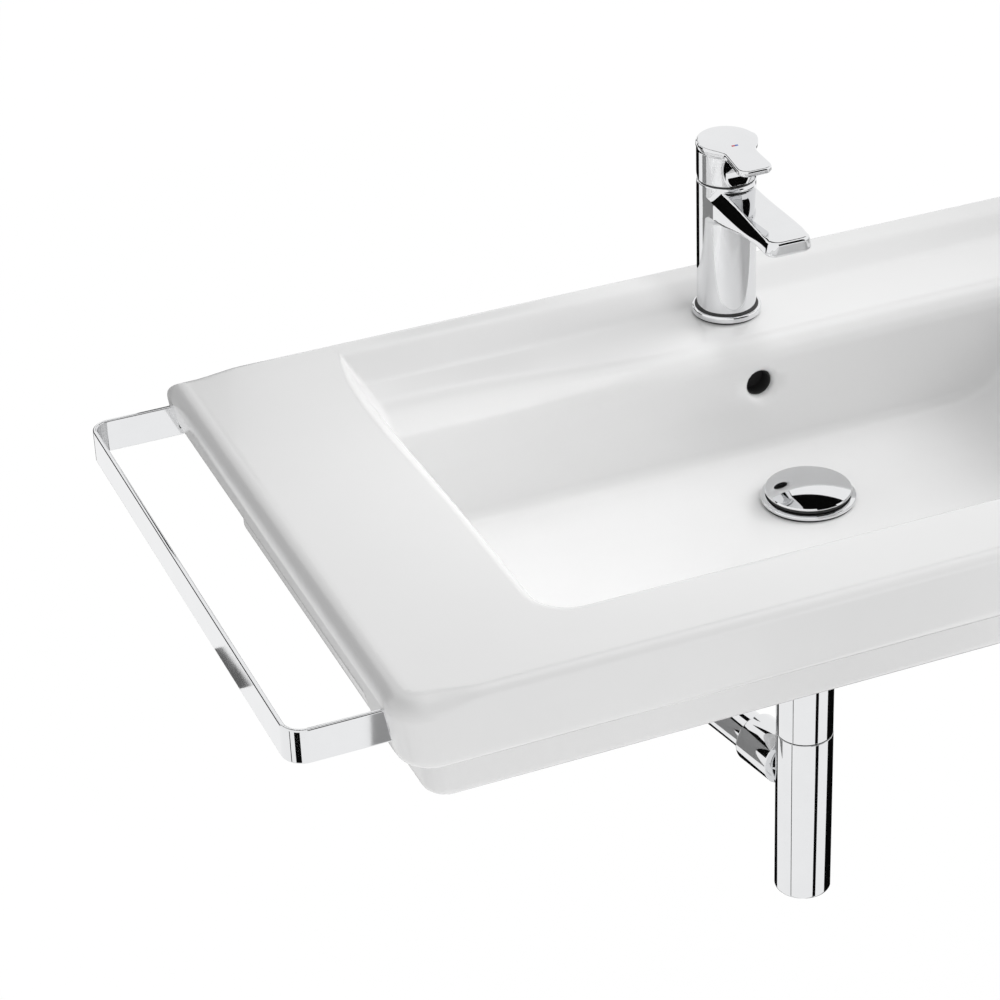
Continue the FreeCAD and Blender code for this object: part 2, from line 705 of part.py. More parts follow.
def tap_clamps():
    """Make what clamps the taps under the ledge: studs, gaskets, horseshoe washers and nuts."""
    under = f"({LEDGE} - ledge_wall)"
    washer_foot = f"({under} - clamp_gasket - clamp_plate)"
    kinds = {"tap_studs": [], "tap_clamp_gaskets": [], "tap_horseshoe_washers": [], "tap_nuts": []}
    for side, sign in SIDES:
        centre = f"{sign}tap_offset"
        stud_back = "stud_setback - tap_back"
        kinds["tap_studs"].append(cylinder(side + "_stud", "stud_dia / 2", "stud_length", centre, stud_back,
                                           f"{TAP_FOOT} + tap_floor - tap_wall - stud_length"))
        for kind, foot, height in (("tap_clamp_gaskets", f"{under} - clamp_gasket", "clamp_gasket"),
                                   ("tap_horseshoe_washers", washer_foot, "clamp_plate")):
            disc = cylinder(f"{side}_{kind}_disc", "clamp_outer / 2", height, centre, "-tap_back", foot)
            mouth = block(f"{side}_{kind}_mouth", "clamp_mouth", "clamp_outer", f"{height} + 2 * overrun",
                          f"{centre} - clamp_mouth / 2", "-tap_back - clamp_outer + stud_dia / 8",
                          f"{foot} - overrun")
            hole = cylinder(f"{side}_{kind}_hole", "stud_dia / 2", f"{height} + 2 * overrun", centre, stud_back,
                            f"{foot} - overrun")
            kinds[kind].append(cut(f"{side}_{kind}_form", disc, mouth, hole))
        hexagon = drive(doc.addObject("Part::Prism", side + "_hexagon"),
                        {"Circumradius": "clamp_nut / sqrt(3)", "Height": "clamp_nut_height"})
        hexagon.Polygon = 6
        place(hexagon, centre, stud_back, f"{washer_foot} - clamp_nut_height")
        thread = cylinder(side + "_thread", "stud_dia / 2", "clamp_nut_height + 2 * overrun", centre, stud_back,
                          f"{washer_foot} - clamp_nut_height - overrun")
        kinds["tap_nuts"].append(cut(side + "_nut", hexagon, thread))
    for kind, things in kinds.items():
        piece(kind, group(kind + "_pair", *things))


# Waste and trap

FLOOR = "(rim_level - bowl_depth)"
FLANGE_TOP = "(rim_level - bowl_depth + seal_height + flange_height)"
UNDER_FLOOR = "(rim_level - bowl_depth - bowl_floor)"


def at_waste(thing, sign):
    """Place a piece that is drawn about the waste's axis."""
    return place(thing, f"{sign}tap_offset", "-waste_back")


def waste(side, sign):
    """Make one waste: flange with tail, seals, back nut, click guide, and the plug that rises."""
    name = side + "_waste"
    tail_end = f"({UNDER_FLOOR} - tail_length)"
    inner = "(tail_dia / 2 - tail_wall)"
    seat = f"({FLOOR} + seal_height)"
    piece(name + "_flange", at_waste(turned(name + "_flange_form", [
        (inner, tail_end), ("tail_dia / 2", tail_end), ("tail_dia / 2", seat), ("flange_dia / 2", seat),
        ("flange_dia / 2", f"{FLANGE_TOP} - flange_rim"), ("flange_dia / 2 - flange_rim", FLANGE_TOP),
        (inner, f"{FLANGE_TOP} - flange_rim")]), sign))
    piece(name + "_flange_seal", at_waste(tube(name + "_top_seal", "flange_dia / 2 - flange_rim",
                                               "flange_dia / 2 - seal_width", FLOOR, seat), sign))
    nut_top = f"({UNDER_FLOOR} - seal_height)"
    piece(name + "_lower_seal", at_waste(tube(name + "_bottom_seal", "back_nut_dia / 2", "tail_dia / 2", nut_top,
                                              UNDER_FLOOR), sign))
    piece(name + "_back_nut", at_waste(tube(name + "_nut", "back_nut_dia / 2", "tail_dia / 2",
                                            f"{nut_top} - back_nut_height", nut_top), sign))
    guide_top = f"({FLANGE_TOP} - guide_depth)"
    hub = tube(name + "_hub", "guide_hub / 2", "stem_dia / 2 + guide_clear", f"{guide_top} - guide_height",
               guide_top)
    ribs = [block(f"{name}_rib", *spans, f"{guide_top} - guide_height") for spans in (
        (f"2 * {inner}", "guide_rib", "guide_height", f"-{inner}", "-guide_rib / 2"),
        ("guide_rib", f"2 * {inner}", "guide_height", "-guide_rib / 2", f"-{inner}"))]
    bore = cylinder(name + "_hub_bore", "stem_dia / 2 + guide_clear", "guide_height + 2 * overrun", "0", "0",
                    f"{guide_top} - guide_height - overrun")
    pipe = cylinder(name + "_pipe", inner, "guide_height", "0", "0", f"{guide_top} - guide_height")
    cross = shared(name + "_cross", join(name + "_cross_blank", hub, *ribs), pipe)
    piece(name + "_click_guide", at_waste(cut(name + "_guide", cross, bore), sign))
    plug_foot = f"({FLANGE_TOP} + plug_gap)"
    piece(name + "_plug", at_waste(turned(name + "_plug_form", [
        ("0", f"{plug_foot} - plug_stem"), ("stem_dia / 2", f"{plug_foot} - plug_stem"),
        ("stem_dia / 2", plug_foot), ("plug_dia / 2 - plug_gap", plug_foot),
        ("plug_dia / 2", f"{plug_foot} + plug_gap"), ("plug_dia / 2 - plug_gap / 2", f"{plug_foot} + plug_edge"),
        ("plug_dia / 3", f"{plug_foot} + plug_edge + plug_dome * 5 / 9"),
        ("plug_dia / 6", f"{plug_foot} + plug_edge + plug_dome * 8 / 9"),
        ("0", f"{plug_foot} + plug_edge + plug_dome")]), sign))


def trap(side, sign):
    """Make one bottle trap: sleeve, dip tube, cup with its branch, seals, and the outlet to the wall."""
    name = side + "_trap"
    nut_foot = f"({UNDER_FLOOR} - seal_height - back_nut_height)"
    outer = "(trap_dia / 2)"
    inner = "(trap_dia / 2 - trap_wall)"
    dip = "(dip_dia / 2)"
    sleeve_top = nut_foot
    seal_top = "(seam_level + cup_seal)"
    piece(name + "_sleeve", at_waste(turned(name + "_sleeve_form", [
        ("tail_dia / 2", sleeve_top), (outer, sleeve_top), (outer, "seam_level + seam_groove"),
        (f"{outer} - seam_groove", "seam_level"), (inner, "seam_level"), (inner, seal_top),
        (dip, seal_top), (dip, f"{seal_top} + collar_lip"), (inner, f"{seal_top} + collar_lip * 2"),
        (inner, f"{UNDER_FLOOR} - tail_length"), ("tail_dia / 2", f"{UNDER_FLOOR} - tail_length")]), sign))
    dip_top = f"({seal_top} + collar_lip)"
    piece(name + "_dip_tube", at_waste(tube(name + "_dip", dip, "dip_dia / 2 - dip_wall",
                                            "trap_bottom + dip_end", dip_top), sign))
    piece(name + "_cup_seal", at_waste(tube(name + "_seal", inner, dip, "seam_level", seal_top), sign))
    cup = turned(name + "_cup_form", [
        ("0", "trap_bottom"), (f"{outer} - trap_edge", "trap_bottom"), (outer, "trap_bottom + trap_edge"),
        (outer, "seam_level"), (inner, "seam_level"), (inner, "trap_bottom + trap_floor"),
        ("0", "trap_bottom + trap_floor")])
    branch = rod(name + "_branch", "branch_dia / 2", f"{outer} + branch_length", X_AXIS, -90, "0", "0",
                 "outlet_level")
    branch_bore = rod(name + "_branch_bore", "outlet_neck / 2", f"{outer} + branch_length + overrun", X_AXIS, -90,
                      "0", "0", "outlet_level")
    heart = cylinder(name + "_heart", inner, "seam_level - trap_bottom - trap_floor", "0", "0",
                     "trap_bottom + trap_floor")
    cup_whole = cut(name + "_cup_bored", join(name + "_cup_branch", cup, branch), branch_bore, heart)
    piece(name + "_cup", trap_turn(cup_whole, sign))
    end = f"({outer} + branch_length)"
    collar = rod(name + "_collar_out", "outlet_collar / 2", "outlet_collar_length", X_AXIS, -90, "0",
                 f"{end} + outlet_seal_length - outlet_collar_length + collar_lip", "outlet_level")
    collar_bore = rod(name + "_collar_bore", "branch_dia / 2", "outlet_collar_length - collar_lip + overrun",
                      X_AXIS, -90, "0", f"{end} + outlet_seal_length - outlet_collar_length + collar_lip - overrun",
                      "outlet_level")
    collar_mouth = rod(name + "_collar_mouth", "outlet_neck / 2", "outlet_collar_length * 2", X_AXIS, -90, "0",
                       end, "outlet_level")
    clear = cylinder(name + "_collar_trim", f"{outer} + collar_clear", "outlet_collar * 2", "0", "0",
                     "outlet_level - outlet_collar")
    piece(name + "_outlet_collar", trap_turn(cut(name + "_collar", collar, collar_bore, collar_mouth, clear), sign))
    seal = rod(name + "_seal_out", "branch_dia / 2", "outlet_seal_length", X_AXIS, -90, "0", end, "outlet_level")
    seal_bore = rod(name + "_seal_bore", "outlet_neck / 2", "outlet_seal_length + 2 * overrun", X_AXIS, -90, "0",
                    f"{end} - overrun", "outlet_level")
    piece(name + "_outlet_seal", trap_turn(cut(name + "_ring", seal, seal_bore), sign))
    reach = "((waste_back - outlet_end_gap) / cos(outlet_turn) - outlet_dia / 2 * tan(outlet_turn))"
    neck_end = f"({end} + outlet_seal_length + collar_lip + outlet_neck_show)"
    neck = rod(name + "_neck", "outlet_neck / 2", f"{neck_end} - {outer} - branch_length / 2", X_AXIS, -90, "0",
               f"{outer} + branch_length / 2", "outlet_level")
    pipe = rod(name + "_pipe_out", "outlet_dia / 2", f"{reach} - {neck_end}", X_AXIS, -90, "0", neck_end,
               "outlet_level")
    pipe_bore = rod(name + "_pipe_bore", "outlet_dia / 2 - outlet_wall", f"{reach} + overrun", X_AXIS, -90, "0",
                    outer, "outlet_level")
    piece(name + "_outlet_tube", trap_turn(cut(name + "_tube", join(name + "_tube_out", neck, pipe), pipe_bore), sign))


def trap_turn(thing, sign):
    """Turn an outlet piece towards its wall socket, mirrored on the other side."""
    turn(thing, Z_AXIS, "outlet_turn" if sign == "-" else "-outlet_turn")
    return at_waste(thing, sign)


def finish():
    """Check every object and write one file for each sub-part."""
    doc.recompute()
    failed = [thing.Label for thing in doc.Objects if {"Invalid", "Error"} & set(thing.State)]
    if failed:
        raise RuntimeError(f"these failed: {failed}")
    for thing in pieces:
        if thing.Shape.isNull() or not thing.Shape.isValid() or not thing.Shape.Solids:
            raise RuntimeError(f"{thing.Label} has no valid shape")
    os.makedirs("parts", exist_ok=True)
    for thing in pieces:
        thing.Shape.exportStep(f"parts/{thing.Label}.step")
        box = thing.Shape.BoundBox
        print(f"{thing.Label}: {len(thing.Shape.Solids)} solids, {thing.Shape.Volume / 1000:.1f} cm3, "
              f"x {box.XMin:.1f} {box.XMax:.1f} y {box.YMin:.1f} {box.YMax:.1f} z {box.ZMin:.1f} {box.ZMax:.1f}")


basin()
rail()
for side_name, side_sign in SIDES:
    tap(side_name, side_sign)
    waste(side_name, side_sign)
    trap(side_name, side_sign)
tap_clamps()
finish()
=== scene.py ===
"""Looks of a wall-hung double washbasin: glazed ceramic, chrome taps, wastes, traps and a towel rail.

Shapes are drawn as smooth distance fields in millimetres and turned into plain meshes in metres. The
frame is +X along the wall, +Y into the wall and +Z up, with the origin on the wall plane.
"""
import json
import logging
import math
from dataclasses import dataclass
from enum import Enum
from typing import Callable, Sequence

import bmesh
import bpy
import numpy as np
from mathutils import Matrix, Vector


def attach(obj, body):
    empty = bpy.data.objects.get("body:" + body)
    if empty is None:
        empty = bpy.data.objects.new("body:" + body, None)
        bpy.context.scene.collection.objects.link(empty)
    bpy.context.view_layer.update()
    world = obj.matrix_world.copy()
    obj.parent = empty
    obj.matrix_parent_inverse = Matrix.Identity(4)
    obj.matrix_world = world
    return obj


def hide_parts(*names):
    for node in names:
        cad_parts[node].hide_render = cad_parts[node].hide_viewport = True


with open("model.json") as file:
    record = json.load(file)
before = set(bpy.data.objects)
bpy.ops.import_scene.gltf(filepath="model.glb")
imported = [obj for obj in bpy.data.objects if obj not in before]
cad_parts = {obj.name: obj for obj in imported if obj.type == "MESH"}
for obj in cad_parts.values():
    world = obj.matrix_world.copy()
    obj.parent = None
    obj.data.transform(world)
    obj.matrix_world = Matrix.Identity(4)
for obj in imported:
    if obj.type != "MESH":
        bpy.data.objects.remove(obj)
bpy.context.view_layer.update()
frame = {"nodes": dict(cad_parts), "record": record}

logging.basicConfig(level=logging.INFO, format="%(message)s")
log = logging.getLogger("washbasin")

MM = 0.001
Array = np.ndarray
Form = Callable[[Array, Array, Array], Array]
Outline = Sequence[tuple[float, ...]]
Spot = tuple[float, float, float]

# Places that several pieces share
BOWL_CENTRE = 272.0
TAP_BACK = -69.0
MOUTH_REACH = 90.0
WASTE_BACK = -206.0
FLOOR_LEVEL = -780.0

# How pale the darkest flags are
BLACK_CLOTH = 0.004

# How turned meshes are cleaned: greatest gap that is closed, in metres, and least sharp angle in degrees
CLOSED_GAP = 1e-6
SHARP_ANGLE = 35.0


class Side(Enum):
    """The two halves of the basin, with the sign of their X places."""

    LEFT = -1
    RIGHT = 1

    @property
    def word(self) -> str:
        """Return the side's name as the nodes use it."""
        return self.name.lower()

    @property
    def centre(self) -> float:
        """Return where the half's tap, waste and trap stand along X."""
        return BOWL_CENTRE * self.value


# Distance fields, where an eased field is scaled to stay close to a true distance

def meet(a: Array, b: Array, radius: float | Array) -> Array:
    """Intersect two fields and round the edge between them.

    Args:
        a: The first field.
        b: The second field.
        radius: The edge's radius in millimetres, one number or one for each point.

    Returns:
        The rounded intersection.
    """
    near = np.hypot(np.maximum(a + radius, 0), np.maximum(b + radius, 0))
    return np.minimum(np.maximum(a, b), -radius) + near


def add(a: Array, b: Array, radius: float | Array) -> Array:
    """Join two fields with a hollow fillet between them.

    Args:
        a: The first field.
        b: The second field.
        radius: The fillet's radius in millimetres, one number or one for each point.

    Returns:
        The joined field.
    """
    near = np.hypot(np.maximum(radius - a, 0), np.maximum(radius - b, 0))
    return np.maximum(np.minimum(a, b), radius) - near


def take(a: Array, b: Array, radius: float | Array) -> Array:
    """Cut one field out of another and round the edge of the cut."""
    return meet(a, -b, radius)


def leaning(field: Array, draft: float) -> Array:
    """Scale a drafted wall's field, so that it still measures millimetres square to the wall."""
    return field / math.hypot(1.0, draft)


def step(value: Array, low: float, high: float) -> Array:
    """Rise smoothly from 0 to 1 between two values."""
    share = np.clip((value - low) / (high - low), 0, 1)
    return share * share * (3 - 2 * share)


def spaced(*spans: tuple[float, float, float]) -> Array:
    """Place grid lines along one axis.

    Args:
        *spans: Start, end and greatest step of each stretch, in order.

    Returns:
        The lines' places, each once.
    """
    lines = [np.linspace(low, high, max(2, math.ceil((high - low) / gap) + 1)) for low, high, gap in spans]
    return np.unique(np.concatenate(lines).round(4))


def slope_of(form: Form, points: Array) -> Array:
    """Return the field's gradient at points, by central differences.

    Args:
        form: The field.
        points: The points, one in each row.

    Returns:
        The gradients, one in each row.
    """
    reach = 0.01
    result = np.empty_like(points)
    for axis in range(3):
        ahead, behind = points.copy(), points.copy()
        ahead[:, axis] += reach
        behind[:, axis] -= reach
        result[:, axis] = (form(*ahead.T) - form(*behind.T)) / (2 * reach)
    return result


def skin(form: Form, lines: Sequence[Array]) -> tuple[Array, Array, Array]:
    """Find the surface of a field on a grid of uneven spacing.

    Each grid cell that the surface crosses gets one point, which is then drawn onto the surface itself.

    Args:
        form: The field, negative inside.
        lines: The grid lines along X, Y and Z.

    Returns:
        The points, the four-sided faces and the normals.
    """
    grid = np.stack(np.meshgrid(*lines, indexing="ij"), -1)
    values = form(grid[..., 0], grid[..., 1], grid[..., 2])
    inside = values < 0
    cells = tuple(count - 1 for count in values.shape)
    total = np.zeros(cells + (3,))
    hits = np.zeros(cells)
    crossed = []
    for axis in range(3):
        low = [slice(None)] * 3
        high = [slice(None)] * 3
        low[axis], high[axis] = slice(None, -1), slice(1, None)
        low, high = tuple(low), tuple(high)
        change = inside[low] != inside[high]
        crossed.append(change)
        gap = np.where(change, values[low] - values[high], 1)
        share = (values[low] / gap)[..., None]
        spot = np.where(change[..., None], grid[low] + share * (grid[high] - grid[low]), 0)
        others = [item for item in range(3) if item != axis]
        for first in (0, 1):
            for second in (0, 1):
                part = [slice(None)] * 3
                part[others[0]] = slice(first, first + cells[others[0]])
                part[others[1]] = slice(second, second + cells[others[1]])
                total += spot[tuple(part)]
                hits += change[tuple(part)]
    used = hits > 0
    numbers = np.full(cells, -1)
    numbers[used] = np.arange(used.sum())
    points = total[used] / hits[used][:, None]
    faces = []
    for axis in range(3):
        second, third = (axis + 1) % 3, (axis + 2) % 3
        at = np.argwhere(crossed[axis])
        fits = (at[:, second] > 0) & (at[:, third] > 0)
        fits &= (at[:, second] < cells[second]) & (at[:, third] < cells[third])
        at = at[fits]
        ring = []
        for back in ((1, 1), (0, 1), (0, 0), (1, 0)):
            cell = at.copy()
            cell[:, second] -= back[0]
            cell[:, third] -= back[1]
            ring.append(numbers[tuple(cell.T)])
        quads = np.stack(ring, 1)
        outward = inside[tuple(at.T)]
        faces.append(np.where(outward[:, None], quads, quads[:, ::-1]))
    draws, least_slope = 5, 0.05
    for _ in range(draws):
        slope = slope_of(form, points)
        steepness = np.maximum((slope ** 2).sum(1), least_slope)
        points = points - slope * (form(*points.T) / steepness)[:, None]
    slope = slope_of(form, points)
    return points, np.concatenate(faces), slope / np.linalg.norm(slope, axis=1)[:, None]


# Meshes

def solid(name: str, points: Array, faces: Sequence, normals: Array | None = None) -> bpy.types.Object:
    """Make a smooth mesh object from points in millimetres.

    Args:
        name: The piece's name.
        points: The points in the shared frame.
        faces: The faces as lists of point numbers.
        normals: A normal for each point, or nothing for Blender's own.

    Returns:
        The object, at the origin.
    """
    mesh = bpy.data.meshes.new(name)
    mesh.from_pydata((np.asarray(points) * MM).tolist(), [], np.asarray(faces).tolist())
    mesh.polygons.foreach_set("use_smooth", [True] * len(mesh.polygons))
    mesh.update()
    if normals is not None:
        mesh.normals_split_custom_set_from_vertices(normals.tolist())
    thing = bpy.data.objects.new(name, mesh)
    bpy.context.collection.objects.link(thing)
    return thing


def shaped(name: str, form: Form, lines: Sequence[Array], place: Spot = (0, 0, 0)) -> bpy.types.Object:
    """Make a mesh object of a field's surface.

    Args:
        name: The piece's name.
        form: The field, negative inside.
        lines: The grid lines along X, Y and Z.
        place: Where the field's own origin goes.

    Returns:
        The object.
    """
    points, faces, normals = skin(form, lines)
    return solid(name, points + np.array(place), faces, normals)


def bend(profile: Outline, steps: int = 5) -> Array:
    """Round the corners of an outline.

    Args:
        profile: Points as (radius, height) or (radius, height, corner radius).
        steps: How many points stand for a rounded corner.

    Returns:
        The outline's points.
    """
    places = [np.array(point[:2], float) for point in profile]
    result = []
    for index, point in enumerate(profile):
        here = places[index]
        if len(point) < 3 or not point[2]:
            result.append(here)
            continue
        before, after = places[index - 1] - here, places[(index + 1) % len(places)] - here
        before, after = before / np.linalg.norm(before), after / np.linalg.norm(after)
        half = math.acos(float(np.clip(before @ after, -1, 1))) / 2
        reach = point[2] / math.tan(half)
        centre = here + (before + after) / np.linalg.norm(before + after) * point[2] / math.sin(half)
        start, end = here + before * reach - centre, here + after * reach - centre
        for share in np.linspace(0, 1, steps + 1):
            spoke = start * (1 - share) + end * share
            result.append(centre + spoke / np.linalg.norm(spoke) * point[2])
    return np.array(result)


def turned(name: str, profile: Outline, base: Matrix, around: int = 96) -> bpy.types.Object:
    """Turn a closed outline about an axis.

    Args:
        name: The piece's name.
        profile: Points as (radius, height[, corner radius]), counter-clockwise with the axis on the left.
        base: Where the axis goes, in millimetres.
        around: How many steps make a full turn.

    Returns:
        The object.
    """
    outline = bend(profile)
    count = len(outline)
    angles = np.linspace(0, 2 * math.pi, around, endpoint=False)
    points = [(r * math.cos(a), r * math.sin(a), z) for a in angles for r, z in outline]
    faces = []
    for turn in range(around):
        here, other = turn * count, (turn + 1) % around * count
        for index in range(count):
            after = (index + 1) % count
            faces.append((here + index, other + index, other + after, here + after))
    placed = [tuple(base @ Vector(point)) for point in points]
    thing = solid(name, np.array(placed), faces)
    shell = thing.data
    work = bmesh.new()
    work.from_mesh(shell)
    bmesh.ops.remove_doubles(work, verts=work.verts, dist=CLOSED_GAP)
    bmesh.ops.dissolve_degenerate(work, edges=work.edges, dist=CLOSED_GAP / 10)
    bmesh.ops.recalc_face_normals(work, faces=work.faces)
    work.to_mesh(shell)
    work.free()
    shell.set_sharp_from_angle(angle=math.radians(SHARP_ANGLE))
    return thing


def fit(thing: bpy.types.Object, finish: "Finish", body: str, *nodes: str) -> None:
    """Dress a piece, let it ride on a body and stand for CAD nodes.

    Args:
        thing: The piece.
        finish: Its finish.
        body: The CAD body that it moves with.
        *nodes: The CAD nodes that it stands for.
    """
    thing.data.materials.clear()
    thing.data.materials.append(finish.material())
    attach(thing, body)
    if nodes:
        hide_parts(*nodes)
    log.info("%s: %d faces on %s", thing.name, len(thing.data.polygons), body)


# Node trees

def feed(tree: bpy.types.NodeTree, target: bpy.types.Node, inputs: dict) -> None:
    """Set a node's inputs.

    Args:
        tree: The node tree.
        target: The node.
        inputs: For each input that is used, a value or the socket that it is linked to.
    """
    for key, value in inputs.items():
        if isinstance(value, bpy.types.NodeSocket):
            tree.links.new(value, target.inputs[key])
        else:
            target.inputs[key].default_value = value


def new_node(tree: bpy.types.NodeTree, kind: str, inputs: dict, operation: str = "") -> bpy.types.Node:
    """Add a node to a tree.

    Args:
        tree: The node tree.
        kind: The node's type.
        inputs: For each input that is used, a value or the socket that it is linked to.
        operation: What a math node does.

    Returns:
        The node.
    """
    made = tree.nodes.new(kind)
    if operation:
        made.operation = operation
    feed(tree, made, inputs)
    return made


# Finishes

@dataclass(frozen=True)
class Finish:
    """A finish with a slight unevenness of gloss and surface.

    Attributes:
        name: The material's name.
        slot: The record's material slot.
        colour: The base colour.
        rough: Least and greatest roughness.
        grain: Size of the unevenness in millimetres.
        metal: Metallic share.
        relief: Height of the bump in millimetres, 0 for none.
        coat: Weight of the clear coat.
        coat_rough: Roughness of the clear coat.
        tint: How far the colour darkens in its darker spots.
    """

    name: str
    slot: str
    colour: tuple[float, float, float]
    rough: tuple[float, float]
    grain: float
    metal: float = 0.0
    relief: float = 0.0
    coat: float = 0.0
    coat_rough: float = 0.04
    tint: float = 0.03

    def material(self) -> bpy.types.Material:
        """Return the finish's material, made once."""
        found = bpy.data.materials.get(self.name)
        if found:
            return found
        result = bpy.data.materials.new(self.name)
        result.use_nodes = True
        tree = result.node_tree
        place = new_node(tree, "ShaderNodeTexCoord", {}).outputs["Object"]
        patches = new_node(tree, "ShaderNodeTexNoise", {
            "Scale": 1 / (self.grain * MM), "Detail": 3.0, "Vector": place}).outputs["Fac"]
        gloss = new_node(tree, "ShaderNodeMapRange", {
            "To Min": self.rough[0], "To Max": self.rough[1], "Value": patches})
        ramp = new_node(tree, "ShaderNodeValToRGB", {"Fac": patches})
        dark, pale = ramp.color_ramp.elements
        dark.position, pale.position = 0.3, 0.7
        dark.color = (*[part * (1 - self.tint) for part in self.colour], 1)
        pale.color = (*self.colour, 1)
        shader = tree.nodes["Principled BSDF"]
        feed(tree, shader, {
            "Metallic": self.metal, "Coat Weight": self.coat, "Coat Roughness": self.coat_rough,
            "Roughness": gloss.outputs["Result"], "Base Color": ramp.outputs["Color"]})
        if self.relief:
            bump = new_node(tree, "ShaderNodeBump", {
                "Strength": 1.0, "Distance": self.relief * MM, "Height": patches})
            feed(tree, shader, {"Normal": bump.outputs["Normal"]})
        return result


GLAZE = Finish("white_glaze", "ceramic", (0.83, 0.83, 0.83), rough=(0.17, 0.22), grain=60.0, relief=0.01,
               coat=0.12, tint=0.012)
CHROME = Finish("polished_chrome", "chrome", (0.80, 0.805, 0.815), rough=(0.015, 0.05), grain=18.0,
                metal=1.0, tint=0.02)
STEEL = Finish("plain_steel", "steel", (0.56, 0.56, 0.57), rough=(0.25, 0.4), grain=2.0, metal=1.0,
               relief=0.01)
BRASS = Finish("machined_brass", "brass", (0.66, 0.5, 0.24), rough=(0.2, 0.36), grain=3.0, metal=1.0,
               relief=0.01)
RUBBER = Finish("black_rubber", "rubber", (0.03, 0.03, 0.03), rough=(0.55, 0.75), grain=1.5, relief=0.03)
WHITE_PLASTIC = Finish("white_plastic", "white_plastic", (0.78, 0.78, 0.76), rough=(0.3, 0.42), grain=3.0,
                       relief=0.01)
GREY_PLASTIC = Finish("grey_plastic", "grey_plastic", (0.3, 0.31, 0.32), rough=(0.32, 0.45), grain=2.0,
                      relief=0.01)
INDEX = Finish("index_insert", "index", (0.5, 0.06, 0.08), rough=(0.12, 0.2), grain=1.0)
COLD = Finish("index_cold", "index", (0.05, 0.12, 0.45), rough=(0.12, 0.2), grain=1.0)
FINISHES = {finish.slot: finish for finish in
            (GLAZE, CHROME, STEEL, BRASS, RUBBER, WHITE_PLASTIC, GREY_PLASTIC, INDEX)}


